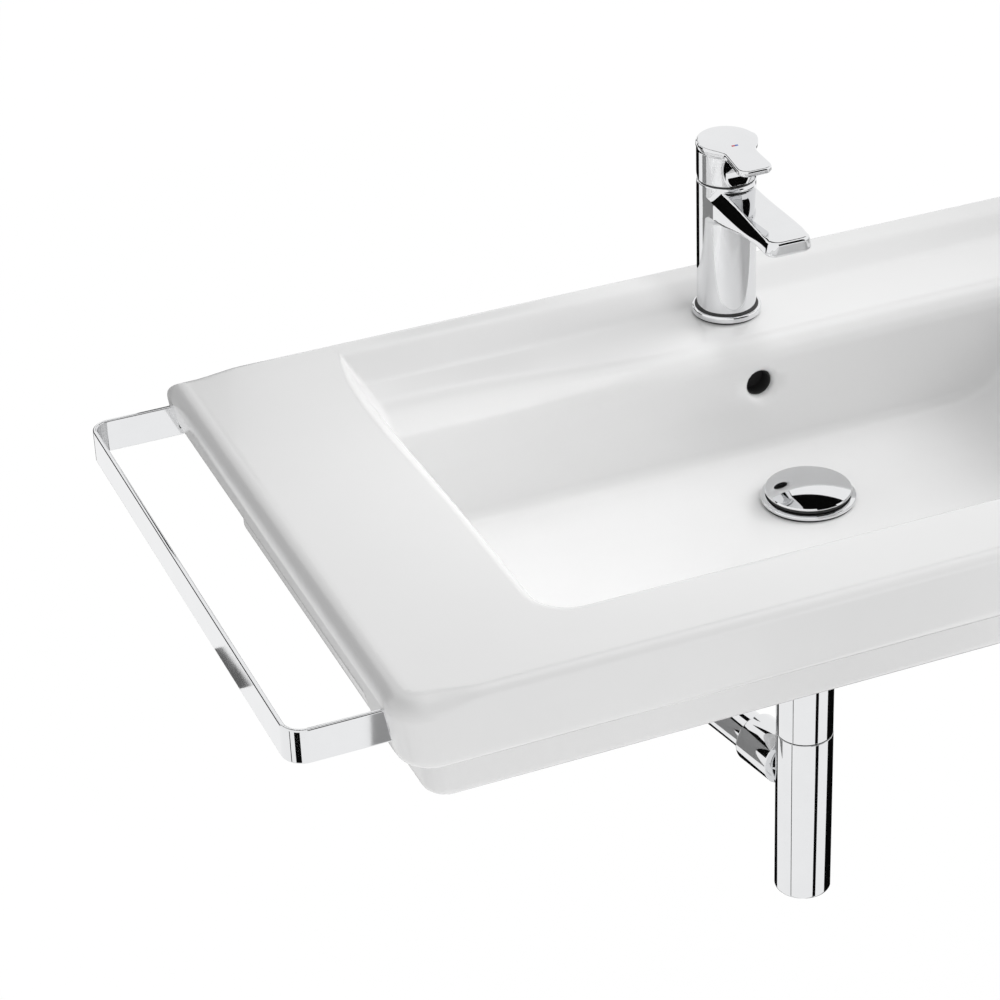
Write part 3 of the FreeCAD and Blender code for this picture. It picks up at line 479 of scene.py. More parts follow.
@dataclass
class Basin:
    """The ceramic body with its two bowls, sunken ledge, apron and skirt.

    Widths run from the basin's middle, depths from the wall plane to the front, and heights from the
    frame's origin. A draft is how far a wall leans for each millimetre of its height.
    """

    # Slab and apron
    half: float = 700.0
    depth: float = 480.0
    rim: float = 70.0
    side_draft: float = 0.16
    front_draft: float = 0.0714
    corner: float = 24.0
    rim_round: float = 8.5
    side_round: float = 16.0
    side_foot: float = 32.0
    apron_foot: float = 14.0
    apron_back: float = 413.0
    foot_round: float = 7.0
    # Skirt and wall plate
    skirt_half: float = 656.0
    skirt_front: float = 413.0
    skirt_back: float = 14.0
    skirt_top: float = 56.0
    skirt_foot: float = -56.0
    skirt_corner: float = 18.0
    wall: float = 14.0
    plate_half: float = 626.0
    plate: float = 28.0
    # Underside
    hollow_top: float = 46.0
    rib_top: float = 52.0
    duct_back: float = 118.0
    duct_half: tuple[float, float] = (23.0, 19.0)
    beam_back: float = 115.0
    beam_level: float = 30.0
    beam_half: tuple[float, float] = (17.0, 24.0)
    beam_centre: float = 305.0
    beam_reach: float = 270.0
    # Bowls
    recess_half: float = 570.0
    front_rim: float = 414.0
    bowl_back: float = 127.0
    bowl_corner: float = 26.0
    outer_draft: float = 14 / 110
    inner_draft: float = 22 / 110
    back_draft: float = 0.06
    floor: float = -35.0
    floor_fall: float = 0.012
    floor_lift: float = 0.0015
    floor_flat: float = 20.0
    floor_round: float = 18.0
    back_round: float = 8.0
    divider: float = 36.0
    rise: float = 78.0
    bowl_wall: float = 11.0
    bowl_floor: float = 12.0
    # Ledge
    back_rim: float = 26.0
    ledge: float = 60.0
    ledge_round: float = 18.0
    ledge_end_round: float = 44.0
    # Holes
    overflow_level: float = 23.5
    overflow_radius: float = 10.5
    overflow_span: tuple[float, float] = (109.0, 150.0)
    overflow_round: float = 5.5
    tap_hole: float = 17.5
    waste_hole: float = 23.0
    fixing_reach: float = 140.0
    fixing_hole: float = 7.0
    fixing_depth: float = 40.0
    # Dark rubber cup set in each overflow bore: painted shade for the unlit duct behind the hole
    liner: Outline = ((0.0, 0.0), (10.45, 0.0), (10.45, 13.5, 0.3), (9.5, 13.5, 0.3), (9.5, 1.5), (0.0, 1.5))
    painted_shade_cup_back: float = -109.3

    def slab(self, across: Array, y: Array, z: Array) -> Array:
        """Draw the slab: drafted sides, rounded rim and the lower apron.

        Args:
            across, y, z: The points.

        Returns:
            The slab's field.
        """
        drop = self.rim - z
        side = leaning(across - self.half + drop * self.side_draft, self.side_draft)
        front = leaning(-y - self.depth + drop * self.front_draft, self.front_draft)
        plan = meet(meet(side, front, self.corner), y, 1.5)
        at_side = step(across, self.half - 60.0, self.half - 20.0)
        plan = meet(plan, z - self.rim, self.rim_round + (self.side_round - self.rim_round) * at_side)
        at_apron = step(-y, self.apron_back - 8, self.apron_back + 8)
        foot = self.side_foot + (self.apron_foot - self.side_foot) * at_apron
        eased = 0.75
        return meet(plan, (foot - z) * eased, self.foot_round)

    def recess(self, across: Array, y: Array, z: Array, wall: float = 0.0) -> Array:
        """Draw a bowl's outer and front walls.

        Args:
            across, y, z: The points.
            wall: How far the walls are grown.

        Returns:
            The field of the space between the walls.
        """
        drop = self.rim - z
        outer = leaning(across - self.recess_half - wall + drop * self.outer_draft, self.outer_draft)
        front = leaning(-y - self.front_rim - wall + drop * self.inner_draft, self.inner_draft)
        return meet(outer, front, self.bowl_corner + wall)

    def pocket(self, across: Array, y: Array, z: Array, wall: float = 0.0, below: float = 0.0) -> Array:
        """Draw a bowl's back wall, floor and soft rise to the divider, without its rim walls.

        Args:
            across, y, z: The points.
            wall: How far the walls are grown.
            below: How far the floor is grown.

        Returns:
            The pocket's field.
        """
        back = leaning(y + self.bowl_back - wall + (self.ledge - z) * self.back_draft, self.back_draft)
        inner = self.divider - wall - across
        away = y - WASTE_BACK
        behind = np.maximum(away - self.floor_flat, 0.0)
        level = self.floor + np.abs(self.floor_fall * away) + self.floor_lift * behind ** 2
        return meet(back, meet(inner, level - below - z, self.rise), self.back_round + below)

    def skirt(self, across: Array, y: Array, z: Array) -> Array:
        """Draw the skirt below the slab, with the plate that lies on the wall.

        Args:
            across, y, z: The points.

        Returns:
            The field of both.
        """
        skirt = meet(across - self.skirt_half, -y - self.skirt_front, self.skirt_corner)
        skirt = meet(skirt, y + self.skirt_back, self.skirt_corner)
        skirt = meet(meet(skirt, self.skirt_foot - z, 6.0), z - self.skirt_top, 2.0)
        plate = meet(meet(across - self.plate_half, -y - self.plate, 1.0), y, 1.0)
        plate = meet(meet(plate, self.skirt_foot - z, 3.0), z - self.skirt_top, 2.0)
        return add(skirt, plate, 3.0)

    def hollow(self, across: Array, y: Array, z: Array) -> Array:
        """Draw the open space inside the skirt."""
        space = meet(across - self.skirt_half + self.wall, -y - self.skirt_front + self.wall, 10.0)
        return meet(meet(space, y + self.plate, 10.0), z - self.hollow_top, 6.0)

    def ribs(self, across: Array, y: Array, z: Array) -> Array:
        """Draw what hangs in the hollow: the bowls' shells, the overflow ducts and the beam along the back.

        Args:
            across, y, z: The points.

        Returns:
            The field of all three.
        """
        under_slab = z - self.rib_top
        shell = meet(self.recess(across, y, z, self.bowl_wall),
                     self.pocket(across, y, z, self.bowl_wall, self.bowl_floor),
                     self.floor_round + self.bowl_floor)
        shell = meet(shell, under_slab, 2.0)
        duct = meet(np.abs(across - BOWL_CENTRE) - self.duct_half[0],
                    np.abs(y + self.duct_back) - self.duct_half[1], 4.0)
        duct = meet(meet(duct, self.floor - z, 4.0), under_slab, 2.0)
        beam = meet(np.abs(y + self.beam_back) - self.beam_half[0],
                    np.abs(z - self.beam_level) - self.beam_half[1], 6.0)
        beam = meet(beam, np.abs(across - self.beam_centre) - self.beam_reach, 4.0)
        return add(add(shell, duct, 5.0), beam, 4.0)

    def sunk(self, y: Array) -> Array:
        """Return how far the ledge has dropped below the rim, from 0 to 1."""
        return step(-y, self.back_rim - 8.0, self.back_rim + 36.0)

    def cavity(self, across: Array, y: Array, z: Array) -> Array:
        """Draw the space above the ledge and in the bowls, with the overflow's bore.

        Args:
            across, y, z: The points.

        Returns:
            The space's field.
        """
        sunk = self.sunk(y)
        level = self.rim - (self.rim - self.ledge) * sunk
        at_end = step(across, 300.0, 540.0)
        soft = self.ledge_round + (self.ledge_end_round - self.ledge_round) * at_end
        eased = 0.95
        profile = add((level - z) * eased, self.pocket(across, y, z), soft)
        in_bowl = step(-z, -45.0, -5.0)
        space = meet(self.recess(across, y, z), profile, 2.0 + 6.0 * sunk + 14.0 * in_bowl)
        bore = np.hypot(across - BOWL_CENTRE, z - self.overflow_level) - self.overflow_radius
        end, start = self.overflow_span
        bore = meet(meet(bore, y + end, 1.0), -y - start, 1.0)
        return add(space, bore, self.overflow_round)

    def form(self, x: Array, y: Array, z: Array) -> Array:
        """Draw the whole ceramic.

        Args:
            x, y, z: The points.

        Returns:
            The ceramic's field.
        """
        across = np.abs(x)
        body = add(self.slab(across, y, z), self.skirt(across, y, z), 4.0)
        body = take(body, self.hollow(across, y, z), 2.5)
        body = add(body, self.ribs(across, y, z), 6.0)
        beside_bowl = step(-y, 40.0, 110.0) * step(y, -300.0, -130.0)
        body = take(body, self.cavity(across, y, z), 0.3 + (7.0 + 5.0 * beside_bowl) * self.sunk(y))
        for back, radius in ((TAP_BACK, self.tap_hole), (WASTE_BACK, self.waste_hole)):
            body = take(body, np.hypot(across - BOWL_CENTRE, y - back) - radius, 0.8)
        for reach in (-self.fixing_reach, self.fixing_reach):
            hole = np.hypot(across - BOWL_CENTRE - reach, z) - self.fixing_hole
            body = take(body, meet(hole, -y - self.fixing_depth, 1.0), 0.8)
        return body

    def build(self) -> None:
        """Make the ceramic, and the dark rubber cups in the overflows that paint the shade of their unlit
        ducts.

        The grid's lines lie close where the form bends and wide apart where it is flat.
        """
        right = spaced((0, 36, 9), (36, 126, 11), (126, 138, 3), (138, 257, 17), (257, 287, 2.6),
                       (287, 406, 17), (406, 418, 3), (418, 530, 14), (530, 546, 4), (546, 584, 2.4),
                       (584, 636, 13), (636, 660, 4), (660, 684, 6), (684, 704, 2))
        lines = (np.unique(np.concatenate([-right, right])),
                 spaced((-484, -462, 1.8), (-462, -428, 9), (-428, -392, 3), (-392, -232, 16),
                        (-232, -180, 6.5), (-180, -156, 6), (-156, -124, 4), (-124, -106, 2.6),
                        (-106, -88, 4.5), (-88, -50, 5), (-50, -10, 4), (-10, 3, 2.2)),
                 spaced((-60, -48, 2.4), (-48, -12, 4), (-12, 8, 7), (8, 16, 3), (16, 38, 2.6), (38, 50, 4),
                        (50, 74, 1.6)))
        fit(shaped("ceramic", self.form, lines), GLAZE, "basin", "basin_body", "left_bowl", "right_bowl")
        to_front = Matrix.Rotation(math.radians(90), 4, "X")
        # Each overflow gets a dark rubber cup as painted shade
        for side in Side:
            spot = Matrix.Translation((side.centre, self.painted_shade_cup_back, self.overflow_level))
            fit(turned(f"{side.word}_overflow_liner", self.liner, spot @ to_front), RUBBER, "basin")


@dataclass
class TowelRail:
    """The flat chrome band bent to a U on the left side."""

    outer: float = -762.0
    inner: float = -690.0
    back: float = -16.0
    front: float = -452.0
    low: float = 30.5
    high: float = 55.5
    thick: float = 3.2
    corner: float = 15.0
    sunk: float = 4.0

    def form(self, x: Array, y: Array, z: Array) -> Array:
        """Draw the band, trimmed just inside the ceramic's side.

        Args:
            x, y, z: The points.

        Returns:
            The band's field.
        """
        half = self.thick / 2
        middle = (self.back + self.front) / 2
        ends = np.abs(y - middle) - (self.back - self.front) / 2
        plan = meet(self.outer + half - x, ends, self.corner - half)
        level = np.abs(z - (self.low + self.high) / 2) - (self.high - self.low) / 2
        band = meet(np.abs(plan) - half, level, 1.0)
        return meet(band, x - self.inner - self.sunk, 0.3)

    def build(self) -> None:
        """Make the band, on a grid that is close at its bends and edges."""
        bend_end, edge = 18.0, 2.5
        lines = (spaced((self.outer - 2, self.outer + bend_end, 0.8), (self.outer + bend_end, self.inner, 6),
                        (self.inner, self.inner + 7, 1)),
                 spaced((self.front - 4, self.front + bend_end, 0.8),
                        (self.front + bend_end, self.back - bend_end, 16),
                        (self.back - bend_end, self.back + 4, 0.8)),
                 spaced((self.low - 1.5, self.low + edge, 0.4), (self.low + edge, self.high - edge, 4),
                        (self.high - edge, self.high + 1.5, 0.4)))
        fit(shaped("rail_band", self.form, lines), CHROME, "basin", "towel_rail")


@dataclass
class Tap:
    """One lever tap: body with spout, base ring, handle and index mark.

    Its forms are drawn about the tap's own axis, with the spout and the lever along -Y.
    """

    side: Side
    radius: float = 22.5
    foot: float = 61.5
    seam: float = 171.0
    # Spout
    reach: float = 107.0
    spout_drop: float = 1.6
    spout_fall: float = 0.055
    root_height: float = 26.0
    tip_height: float = 11.8
    root_shoulder: float = 13.2
    tip_shoulder: float = 16.4
    flank: float = 18.6
    flank_height: float = 11.5
    mouth_radius: float = 10.0
    mouth_top: float = 157.4
    # Chamber for the cartridge
    chamber_radius: float = 17.0
    chamber_foot: float = 134.0
    # Handle and lever
    crown_top: float = 203.0
    crown_tilt: float = 1.2
    crown_curve: float = 0.0012
    lever_fall: float = 0.115
    lever_reach: float = 52.5
    lever_half: float = 12.8
    lever_flare: float = 1.0
    lever_thick: float = 4.6
    handle_foot: float = 172.5
    handle_bore: float = 12.5
    handle_ceiling: float = 188.0
    scoop: tuple[float, float, float] = (50.0, 186.0, 31.0)
    scoop_top: float = 199.0
    lift_room: float = 24.0
    lift_level: float = 172.0
    # Index mark
    index_along: float = 14.0
    index_half: tuple[float, float] = (1.3, 0.9)
    index_apart: float = 1.35
    index_foot: float = 200.6
    index_proud: float = 0.12
    # Outlines of the turned pieces
    ring: Outline = ((22.6, 61.5), (26.5, 61.5, 0.6), (26.5, 66.3, 1.6), (22.6, 66.3, 0.3))
    # Dark rubber bead on top of the base ring: painted shade for the shadow gap between ring and body
    bead: Outline = ((22.4, 65.5), (24.2, 65.5), (24.2, 66.9, 0.5), (22.4, 68.0, 0.3))
    # Dark rubber ring set into the seam between body and handle: painted shade in the gap between the parts
    slip_ring: Outline = ((17.2, 170.2), (21.4, 170.2), (21.4, 172.1, 0.2), (17.2, 172.1, 0.2))

    def body(self, x: Array, y: Array, z: Array) -> Array:
        """Draw the body with its plank spout and the chamber for the cartridge.

        Args:
            x, y, z: The points.

        Returns:
            The body's field.
        """
        away, along = np.hypot(x, y), -y
        post = meet(meet(away - self.radius, z - self.seam, 1.0), self.foot - z, 0.6)
        top = self.seam - self.spout_drop - np.maximum(along - 12.0, 0) * self.spout_fall
        under = top - self.root_height + (self.root_height - self.tip_height) * step(along, 5.0, 88.0)
        shoulder = self.root_shoulder + (self.tip_shoulder - self.root_shoulder) * step(along, 30.0, 95.0)
        fall = 1 - np.clip((top - z) / self.flank_height, 0, 1)
        flank_eased, top_eased, under_eased = 0.85, 0.995, 0.96
        flank = (np.abs(x) - shoulder - (self.flank - shoulder) * (1 - fall ** 1.5)) * flank_eased
        plan = meet(flank, along - self.reach, 7.5)
        edge = 0.9 + 1.5 * step(along, self.reach - 18.0, self.reach - 8.0)
        plank = meet(meet(plan, (z - top) * top_eased, edge), (under - z) * under_eased, 3.0)
        whole = add(post, meet(plank, -along, 1.0), 3.0)
        whole = take(whole, meet(away - self.chamber_radius, self.chamber_foot - z, 0.5), 0.4)
        mouth = meet(np.hypot(x, y + MOUTH_REACH) - self.mouth_radius, z - self.mouth_top, 0.5)
        return take(whole, mouth, 0.6)

    def crown(self, x: Array, along: Array) -> Array:
        """Return the height of the handle's top, which droops along the lever.

        Args:
            x: Places across the lever.
            along: Places along the lever.

        Returns:
            The heights.
        """
        bend_place, bend_length = 16.0, 5.0
        fall = np.logaddexp(0, (along - bend_place) / bend_length) * bend_length
        tilt = self.crown_tilt * step(along, -10.0, 30.0)
        return self.crown_top - tilt - self.lever_fall * fall - self.crown_curve * x * x

    def dash(self, place: float) -> Form:
        """Draw one half of the index mark, let into the handle's top.

        Args:
            place: Where the half lies across the lever.

        Returns:
            The half's field.
        """
        def form(x: Array, y: Array, z: Array) -> Array:
            """Return the field at points."""
            length, width = self.index_half
            plan = meet(np.abs(x - place) - length, np.abs(-y - self.index_along) - width, 0.4)
            proud = z - self.crown(x, -y) - self.index_proud
            return meet(meet(plan, proud, 0.1), self.index_foot - z, 0.1)
        return form

    def handle(self, x: Array, y: Array, z: Array) -> Array:
        """Draw the hollow cap with its thin drooping lever and the room that it needs for lifting.

        Args:
            x, y, z: The points.

        Returns:
            The handle's field.
        """
        along = -y
        top = self.crown(x, along)
        width = self.radius - (self.radius - self.lever_half) * step(along, 2.0, 25.0)
        width = width + self.lever_flare * step(along, 26.0, 50.0)
        tongue = meet(meet(np.abs(x) - width, along - self.lever_reach, 8.0), -along, 1.0)
        cap = np.hypot(x, y) - self.radius
        eased = 0.98
        plate = meet(add(cap, tongue, 4.0), (z - top) * eased, 1.5)
        plate = meet(plate, (top - self.lever_thick - z) * eased, 1.4)
        scoop_along, scoop_level, scoop_radius = self.scoop
        scoop = np.hypot(along - scoop_along, z - scoop_level) - scoop_radius
        stub = meet(meet(cap, self.handle_foot - z, 0.6), z - top + 2.0, 0.5)
        stub = take(stub, meet(scoop, z - self.scoop_top, 1.0), 1.0)
        whole = add(plate, stub, 2.0)
        climb = math.tan(math.radians(self.lift_room))
        wedge = leaning(z - self.lift_level - y * climb, climb)
        whole = take(whole, meet(wedge, -y, 0.5), 0.5)
        hollow = meet(np.hypot(x, y) - self.handle_bore, z - self.handle_ceiling, 2.0)
        return take(whole, hollow, 0.5)

    def build(self) -> None:
        """Make the tap's visible pieces."""
        word = self.side.word
        lever = f"{word}_tap_lever"
        place = (self.side.centre, TAP_BACK, 0.0)
        lines = (spaced((-24, 24, 0.9)), spaced((-110, 25, 1.1)),
                 spaced((60, 64, 0.6), (64, 128, 4), (128, 174, 0.9)))
        fit(shaped(f"{word}_tap_post", self.body, lines, place), CHROME, "basin", f"{word}_tap_body")
        lines = (spaced((-24, 24, 0.7)), spaced((-57, 25, 0.7)), spaced((170.5, 203.5, 0.6)))
        fit(shaped(f"{word}_tap_cap", self.handle, lines, place), CHROME, lever, f"{word}_tap_handle")
        for name, spot, finish, nodes in (("hot", -self.index_apart, INDEX, (f"{word}_tap_index_dot",)),
                                          ("cold", self.index_apart, COLD, ())):
            lines = (spaced((spot - 1.8, spot + 1.8, 0.2)), spaced((-15.4, -12.6, 0.2)),
                     spaced((200.2, 203.4, 0.2)))
            fit(shaped(f"{word}_index_{name}", self.dash(spot), lines, place), finish, lever, *nodes)
        base = Matrix.Translation(place)
        fit(turned(f"{word}_tap_ring", self.ring, base), CHROME, "basin", f"{word}_tap_base_ring")
        # Painted shadow gap above the base ring
        fit(turned(f"{word}_tap_bead", self.bead, base), RUBBER, "basin")
        # Painted shade in the seam between body and handle
        fit(turned(f"{word}_tap_slip_ring", self.slip_ring, base), RUBBER, "basin")


def crossed_bars() -> bpy.types.GeometryNodeTree:
    """Return the node tree that repeats one bar as a crossed screen, made once."""
    found = bpy.data.node_groups.get("crossed_bars")
    if found:
        return found
    tree = bpy.data.node_groups.new("crossed_bars", "GeometryNodeTree")
    for name, kind in (("Bar", "Geometry"), ("Count", "Int"), ("Pitch", "Float"), ("First across", "Vector"),
                       ("First along", "Vector"), ("Finish", "Material")):
        tree.interface.new_socket(name, in_out="INPUT", socket_type=f"NodeSocket{kind}")
    tree.interface.new_socket("Screen", in_out="OUTPUT", socket_type="NodeSocketGeometry")
    given = new_node(tree, "NodeGroupInput", {}).outputs
    joined = new_node(tree, "GeometryNodeJoinGeometry", {})
    for first, axis, turn in (("First across", "X", 0.0), ("First along", "Y", math.pi / 2)):
        offset = new_node(tree, "ShaderNodeCombineXYZ", {axis: given["Pitch"]})
        row = new_node(tree, "GeometryNodeMeshLine", {
            "Count": given["Count"], "Start Location": given[first], "Offset": offset.outputs["Vector"]})
        bars = new_node(tree, "GeometryNodeInstanceOnPoints", {
            "Rotation": (0.0, 0.0, turn), "Points": row.outputs["Mesh"], "Instance": given["Bar"]})
        feed(tree, joined, {"Geometry": bars.outputs["Instances"]})
    real = new_node(tree, "GeometryNodeRealizeInstances", {"Geometry": joined.outputs["Geometry"]})
    paint = new_node(tree, "GeometryNodeSetMaterial", {
        "Geometry": real.outputs["Geometry"], "Material": given["Finish"]})
    new_node(tree, "NodeGroupOutput", {"Screen": paint.outputs["Geometry"]})
    return tree


@dataclass
class Aerator:
    """The insert in the spout's mouth: a rim and a screen of crossed bars."""

    side: Side
    rim: Outline = ((7.2, 151.0), (9.8, 151.0, 0.5), (9.8, 157.0), (7.2, 157.0))
    level: float = 153.0
    count: int = 7
    pitch: float = 1.5
    bar_half: Spot = (0.25, 5.0, 0.5)

    def build(self) -> None:
        """Make the rim, then repeat one bar into the screen."""
        word = self.side.word
        centre = np.array([self.side.centre, TAP_BACK - MOUTH_REACH, self.level])
        base = Matrix.Translation((centre[0], centre[1], 0))
        fit(turned(f"{word}_aerator_rim", self.rim, base), GREY_PLASTIC, "basin", f"{word}_tap_aerator")
        corners = [(x, y, z) for x in (-1, 1) for y in (-1, 1) for z in (-1, 1)]
        thing = solid(f"{word}_aerator_screen", np.array(corners) * self.bar_half, [
            (0, 1, 3, 2), (4, 6, 7, 5), (0, 4, 5, 1), (2, 3, 7, 6), (0, 2, 6, 4), (1, 5, 7, 3)])
        tree = crossed_bars()
        change = thing.modifiers.new("screen", "NODES")
        change.node_group = tree
        start = self.pitch * (self.count - 1) / 2
        given = {"Count": self.count, "Pitch": self.pitch * MM, "Finish": GREY_PLASTIC.material(),
                 "First across": ((centre - (start, 0, 0)) * MM).tolist(),
                 "First along": ((centre - (0, start, 0)) * MM).tolist()}
        for item in tree.interface.items_tree:
            if item.in_out == "INPUT" and item.name in given:
                change[item.identifier] = given[item.name]
        done = thing.evaluated_get(bpy.context.evaluated_depsgraph_get())
        mesh = bpy.data.meshes.new_from_object(done)
        thing.modifiers.clear()
        thing.data = mesh
        fit(thing, GREY_PLASTIC, "basin")


@dataclass
class Waste:
    """One push waste: flange, domed plug and the plug's seal."""

    side: Side
    collar: Outline = ((17.5, -125.0), (20.0, -125.0, 0.5), (20.0, -33.0), (35.5, -33.0, 0.5),
                       (35.5, -30.6, 0.9), (32.0, -30.0, 1.0), (24.0, -31.4, 4.0), (17.5, -36.0, 1.5))
    seal: Outline = ((24.0, -29.6), (31.2, -29.6, 0.6), (31.2, -27.2), (24.0, -27.2))
    foot: float = -27.4
    cap: float = 32.8
    cap_edge: float = 2.2
    dome: float = 5.0
    dome_steps: int = 17
    stem: float = 5.0
    stem_length: float = 46.0

    def build(self) -> None:
        """Make the flange, the plug and the seal."""
        word = self.side.word
        base = Matrix.Translation((self.side.centre, WASTE_BACK, 0))
        fit(turned(f"{word}_waste_collar", self.collar, base), CHROME, "basin", f"{word}_waste_flange")
        dome = [(r, self.foot + self.cap_edge + self.dome * (1 - (r / self.cap) ** 2))
                for r in np.linspace(self.cap - 1.0, 0.0, self.dome_steps)]
        tip = self.foot - self.stem_length
        plug = [(0.0, tip), (self.stem, tip, 1.0), (self.stem, self.foot, 1.0),
                (self.cap - 1.8, self.foot, 0.8), (self.cap, self.foot + 1.2, 0.7), *dome]
        fit(turned(f"{word}_waste_cap", plug, base), CHROME, f"{word}_plug", f"{word}_waste_plug")
        fit(turned(f"{word}_waste_seal", self.seal, base), RUBBER, f"{word}_plug")


@dataclass
class Trap:
    """One bottle trap, whose collar, pipe and branch are turned about the outlet's own axis."""

    side: Side
    sleeve: Outline = ((20.0, -60.0), (22.5, -60.0, 0.8), (22.5, -242.6, 0.7), (21.0, -242.6), (21.0, -70.0),
                       (20.0, -70.0))
    cup: Outline = ((0.0, -392.0), (22.5, -392.0, 2.4), (22.5, -243.4, 0.7), (21.0, -243.4), (21.0, -389.5),
                    (0.0, -389.5))
    collar: Outline = ((18.0, 23.2), (21.0, 23.2, 0.8), (21.0, 62.5, 1.6), (15.7, 62.5, 0.5))
    pipe: Outline = ((14.5, 36.5), (15.7, 36.5), (15.7, 64.5), (16.0, 64.5, 0.2), (16.0, 205.3, 0.4),
                     (14.5, 205.3))
    branch: Outline = ((15.7, 20.0), (18.0, 20.0), (18.0, 50.5, 0.4), (15.7, 50.5))
    level: float = -285.0
    lean: float = 10.0
    around: int = 128

    def build(self) -> None:
        """Make the sleeve, the collar, the outlet tube and the cup with its branch."""
        word = self.side.word
        base = Matrix.Translation((self.side.centre, WASTE_BACK, 0))
        fit(turned(f"{word}_trap_upper", self.sleeve, base, self.around), CHROME,
            "basin", f"{word}_trap_sleeve")
        turn = Matrix.Rotation(math.radians(-self.lean * self.side.value), 4, "Z")
        to_wall = Matrix.Rotation(math.radians(-90), 4, "X")
        outlet = base @ Matrix.Translation((0, 0, self.level)) @ turn @ to_wall
        fit(turned(f"{word}_trap_collar", self.collar, outlet), CHROME,
            "basin", f"{word}_trap_outlet_collar")
        fit(turned(f"{word}_trap_pipe", self.pipe, outlet), CHROME, "basin", f"{word}_trap_outlet_tube")
        fit(turned(f"{word}_trap_bottle", self.cup, base, self.around), CHROME, "basin", f"{word}_trap_cup")
        fit(turned(f"{word}_trap_branch", self.branch, outlet), CHROME, "basin")


# Studio

@dataclass(frozen=True)
class Lamp:
    """A soft square lamp, with places and size in metres, power in watts and spread in degrees."""

    name: str
    place: Spot
    aim: Spot
    size: float
    power: float
    spread: float

    def hang(self) -> None:
        """Hang the lamp, out of sight of reflections."""
        data = bpy.data.lights.new(self.name, "AREA")
        data.energy = self.power
        data.size = self.size
        data.spread = math.radians(self.spread)
        thing = bpy.data.objects.new(self.name, data)
        thing.visible_glossy = False
        place = Vector(self.place)
        turn = (place - Vector(self.aim)).to_track_quat("Z", "Y").to_matrix().to_4x4()
        thing.matrix_world = Matrix.Translation(place) @ turn
        bpy.context.collection.objects.link(thing)


@dataclass(frozen=True)
class Flag:
    """A sheet of cloth that only shows in reflections, with its four corners and the cloth's paleness."""

    name: str
    corners: Sequence[Spot]
    tone: float = BLACK_CLOTH

    @classmethod
    def lying(cls, name: str, corners: Sequence[tuple[float, float]], tone: float = BLACK_CLOTH) -> "Flag":
        """Return a flag that lies just above the floor."""
        return cls(name, [(x, y, FLOOR_LEVEL + 2.0) for x, y in corners], tone)

    @classmethod
    def wedge(cls, spot: tuple[float, float], azimuth: float, width: float, near: float = 60.0,
              far: float = 2600.0) -> "Flag":
        """Return a wedge on the floor, which a chrome post at a spot shows as one upright line.

        Args:
            spot: The post's place.
            azimuth: Where the wedge points, in degrees.
            width: The wedge's angle in degrees.
            near: Where it starts, from the spot.
            far: Where it ends, from the spot.

        Returns:
            The flag.
        """
        low, high = (math.radians(azimuth + width * share) for share in (-0.5, 0.5))
        corners = [(spot[0] + reach * math.cos(angle), spot[1] + reach * math.sin(angle))
                   for reach, angle in ((near, low), (far, low), (far, high), (near, high))]
        return cls.lying(f"floor_flag_{azimuth:.0f}", corners)

    @classmethod
    def card(cls, spot: tuple[float, float], azimuth: float, width: float, levels: tuple[float, float],
             tone: float = BLACK_CLOTH) -> "Flag":
        """Return a card that stands upright, square to an azimuth.

        Args:
            spot: The middle of its foot.
            azimuth: Where it faces, in degrees.
            width: Its width.
            levels: Heights of its lower and upper edge.
            tone: How pale it is.

        Returns:
            The flag.
        """
        angle = math.radians(azimuth)
        along = (-math.sin(angle) * width / 2, math.cos(angle) * width / 2)
        low, high = levels
        corners = [(spot[0] + along[0] * end, spot[1] + along[1] * end, level)
                   for end, level in ((-1, low), (1, low), (1, high), (-1, high))]
        return cls(f"card_{azimuth:.0f}", corners, tone)

    def hang(self) -> None:
        """Hang the flag, out of sight of the camera and of the soft light."""
        thing = solid(self.name, np.array(self.corners), [(0, 1, 2, 3)])
        title = f"flag_cloth_{self.tone:.3f}"
        cloth = bpy.data.materials.get(title) or bpy.data.materials.new(title)
        cloth.use_nodes = True
        feed(cloth.node_tree, cloth.node_tree.nodes["Principled BSDF"], {
            "Base Color": (self.tone, self.tone, self.tone, 1), "Roughness": 1.0, "Specular IOR Level": 0.0})
        thing.data.materials.append(cloth)
        thing.visible_camera = False
        thing.visible_diffuse = False
        thing.visible_transmission = False
        thing.visible_shadow = False


LAMPS = (
    Lamp("bowl_lamp", (0.35, -0.25, 0.62), (-0.62, -0.31, 0.02), size=0.65, power=0.95, spread=60.0),
    Lamp("floor_lamp", (-0.25, -0.42, 0.95), (-0.49, -0.22, -0.03), size=0.12, power=0.022, spread=24.0),
    Lamp("ledge_lamp", (-0.15, -0.55, 1.0), (-0.31, -0.06, 0.06), size=0.15, power=0.062, spread=36.0),
    Lamp("front_lamp", (0.0, -1.9, -0.35), (-0.2, -0.4, 0.0), size=0.85, power=5.1, spread=180.0),
    Lamp("left_lamp", (-1.45, -0.5, -0.6), (-0.69, -0.25, 0.05), size=0.3, power=2.4, spread=180.0),
)
LEFT_TRAP = (Side.LEFT.centre, WASTE_BACK)
RAIL_CORNER = (-755.0, -449.0)

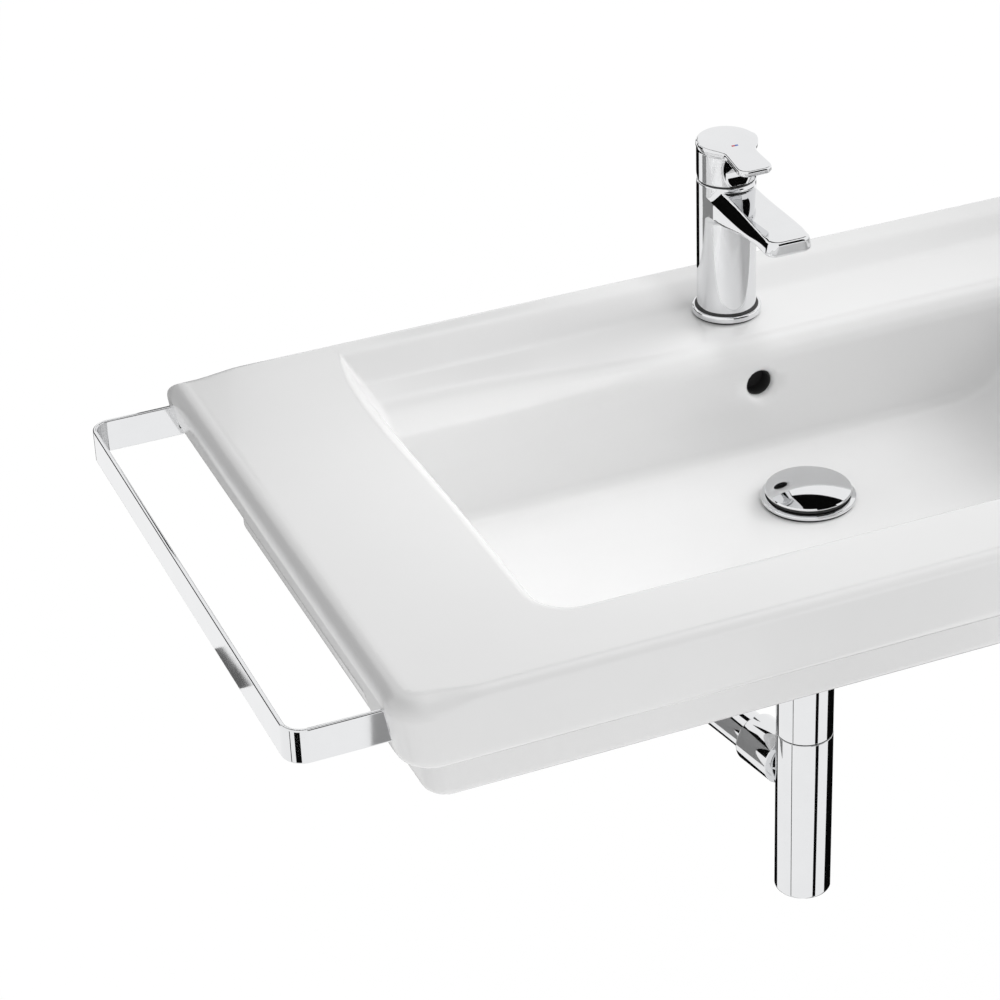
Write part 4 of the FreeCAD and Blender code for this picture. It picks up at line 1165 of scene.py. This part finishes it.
# Sheets that place the dark bands in the chrome and shade the back rim, for the photograph's viewpoint
FLAGS = (
    *(Flag.wedge(LEFT_TRAP, azimuth, width)
      for azimuth, width in ((-68.0, 13.0), (-166.0, 3.0), (92.0, 44.0), (14.0, 60.0))),
    Flag.card((-980.0, 900.0), azimuth=126.0, width=700.0, levels=(-150.0, 550.0)),
    Flag.card((-380.0, 1150.0), azimuth=97.0, width=120.0, levels=(-700.0, 900.0)),
    Flag.card((-1500.0, 700.0), azimuth=128.0, width=700.0, levels=(-250.0, 900.0)),
    Flag.wedge(RAIL_CORNER, azimuth=-134.0, width=28.0, near=1100.0, far=1270.0),
    Flag.lying("leg_flag", ((-1099, 815), (-1070, 815), (-1070, 905), (-1094, 905)), tone=0.17),
    Flag.lying("end_flag", ((-350, -1540), (-318, -1630), (-250, -1630), (-250, -1540)), tone=0.3),
    Flag("rim_flag", ((-215, 1000, 560), (15, 1000, 560), (0, 1000, 745), (-130, 1000, 745)), tone=0.12),
    Flag.card((700.0, -2350.0), azimuth=-67.0, width=2400.0, levels=(100.0, 3600.0)),
    Flag.card((378.0, 1310.0), azimuth=66.0, width=3000.0, levels=(1800.0, 5000.0)),
    Flag.card((-713.0, 166.0), azimuth=152.0, width=190.0, levels=(-600.0, 40.0), tone=0.3),
)


def shown(tree: bpy.types.NodeTree) -> bpy.types.NodeSocket:
    """Return a value that is 1 for what the camera, a reflection or a clear piece shows, and else 0.

    Args:
        tree: The node tree that gets the value.

    Returns:
        The value's socket.
    """
    rays = new_node(tree, "ShaderNodeLightPath", {}).outputs
    result = rays["Is Camera Ray"]
    for kind in ("Is Glossy Ray", "Is Transmission Ray"):
        result = new_node(tree, "ShaderNodeMath", {0: result, 1: rays[kind]}, "MAXIMUM").outputs[0]
    return result


@dataclass
class Studio:
    """Camera, floor, world, lamps and flags, with places in millimetres and angles in degrees."""

    place: Spot = (-1204.0, -1961.0, 1139.4)
    yaw: float = -21.36035
    pitch: float = 30.520595
    roll: float = -2.491136
    lens: float = 111.3213
    sensor: float = 36.0
    fill: float = 0.59
    lean: tuple[float, float, float] = (0.27, -0.04, 0.16)
    floor_reach: float = 6000.0
    floor_tone: float = 0.9
    floor_rough: float = 0.9
    floor_glow: tuple[float, float] = (1.03, 0.93)

    def camera(self) -> None:
        """Set the camera at the photograph's viewpoint."""
        yaw, pitch, roll = (math.radians(angle) for angle in (self.yaw, self.pitch, self.roll))
        back = Vector((math.sin(yaw) * math.cos(pitch), -math.cos(yaw) * math.cos(pitch), math.sin(pitch)))
        right = Vector((math.cos(yaw), math.sin(yaw), 0))
        down = (-back).cross(right)
        c, s = math.cos(roll), math.sin(roll)
        across = right * c - down * s
        below = right * s + down * c
        data = bpy.data.cameras.new("camera")
        data.sensor_width = self.sensor
        data.lens = self.lens
        data.clip_end = 50.0
        eye = bpy.data.objects.new("camera", data)
        turn = Matrix((across, -below, back)).transposed().to_4x4()
        eye.matrix_world = Matrix.Translation(Vector(self.place) * MM) @ turn
        bpy.context.collection.objects.link(eye)
        bpy.context.scene.camera = eye

    def world(self) -> None:
        """Light the scene from all round, with a white background for the camera and for reflections."""
        world = bpy.data.worlds.new("studio")
        bpy.context.scene.world = world
        world.use_nodes = True
        tree = world.node_tree
        place = new_node(tree, "ShaderNodeTexCoord", {}).outputs["Generated"]
        lean = new_node(tree, "ShaderNodeVectorMath", {0: place, 1: self.lean}, "DOT_PRODUCT")
        soft = new_node(tree, "ShaderNodeMath", {0: lean.outputs["Value"], 1: self.fill}, "ADD")
        soft.use_clamp = True
        strength = new_node(tree, "ShaderNodeMix", {"Factor": shown(tree), "A": soft.outputs[0], "B": 1.0})
        feed(tree, tree.nodes["Background"], {"Color": (1, 1, 1, 1), "Strength": strength.outputs["Result"]})

    def floor(self) -> None:
        """Lay the pale floor, which keeps the object's shadow."""
        reach = self.floor_reach
        corners = [(x * reach, y * reach, FLOOR_LEVEL) for x, y in ((-1, -1), (1, -1), (1, 1), (-1, 1))]
        floor = solid("floor", np.array(corners), [(0, 1, 2, 3)])
        paint = bpy.data.materials.new("pale_floor")
        paint.use_nodes = True
        tree = paint.node_tree
        shader = tree.nodes["Principled BSDF"]
        feed(tree, shader, {"Base Color": (*[self.floor_tone] * 3, 1), "Roughness": self.floor_rough})
        strength, most = self.floor_glow
        glow = new_node(tree, "ShaderNodeEmission", {"Strength": strength})
        share = new_node(tree, "ShaderNodeMath", {0: shown(tree), 1: most}, "MULTIPLY")
        mix = new_node(tree, "ShaderNodeMixShader", {
            "Fac": share.outputs[0], 1: shader.outputs["BSDF"], 2: glow.outputs["Emission"]})
        feed(tree, tree.nodes["Material Output"], {"Surface": mix.outputs["Shader"]})
        floor.data.materials.append(paint)

    def build(self) -> None:
        """Set up the whole studio."""
        self.camera()
        self.world()
        self.floor()
        for thing in (*LAMPS, *FLAGS):
            thing.hang()


def dress_nodes() -> None:
    """Give every CAD node the finish of its material slot."""
    for row in frame["record"]["subparts"]:
        node = frame["nodes"][row["node"]]
        finish = FINISHES[row["material_slot"]]
        node.data.materials.clear()
        node.data.materials.append(finish.material())


def main() -> None:
    """Build every piece in order."""
    bpy.context.scene.view_settings.view_transform = "Standard"
    dress_nodes()
    Basin().build()
    TowelRail().build()
    for side in Side:
        Tap(side).build()
        Aerator(side).build()
        Waste(side).build()
        Trap(side).build()
    Studio().build()


if __name__ == "__main__":
    main()
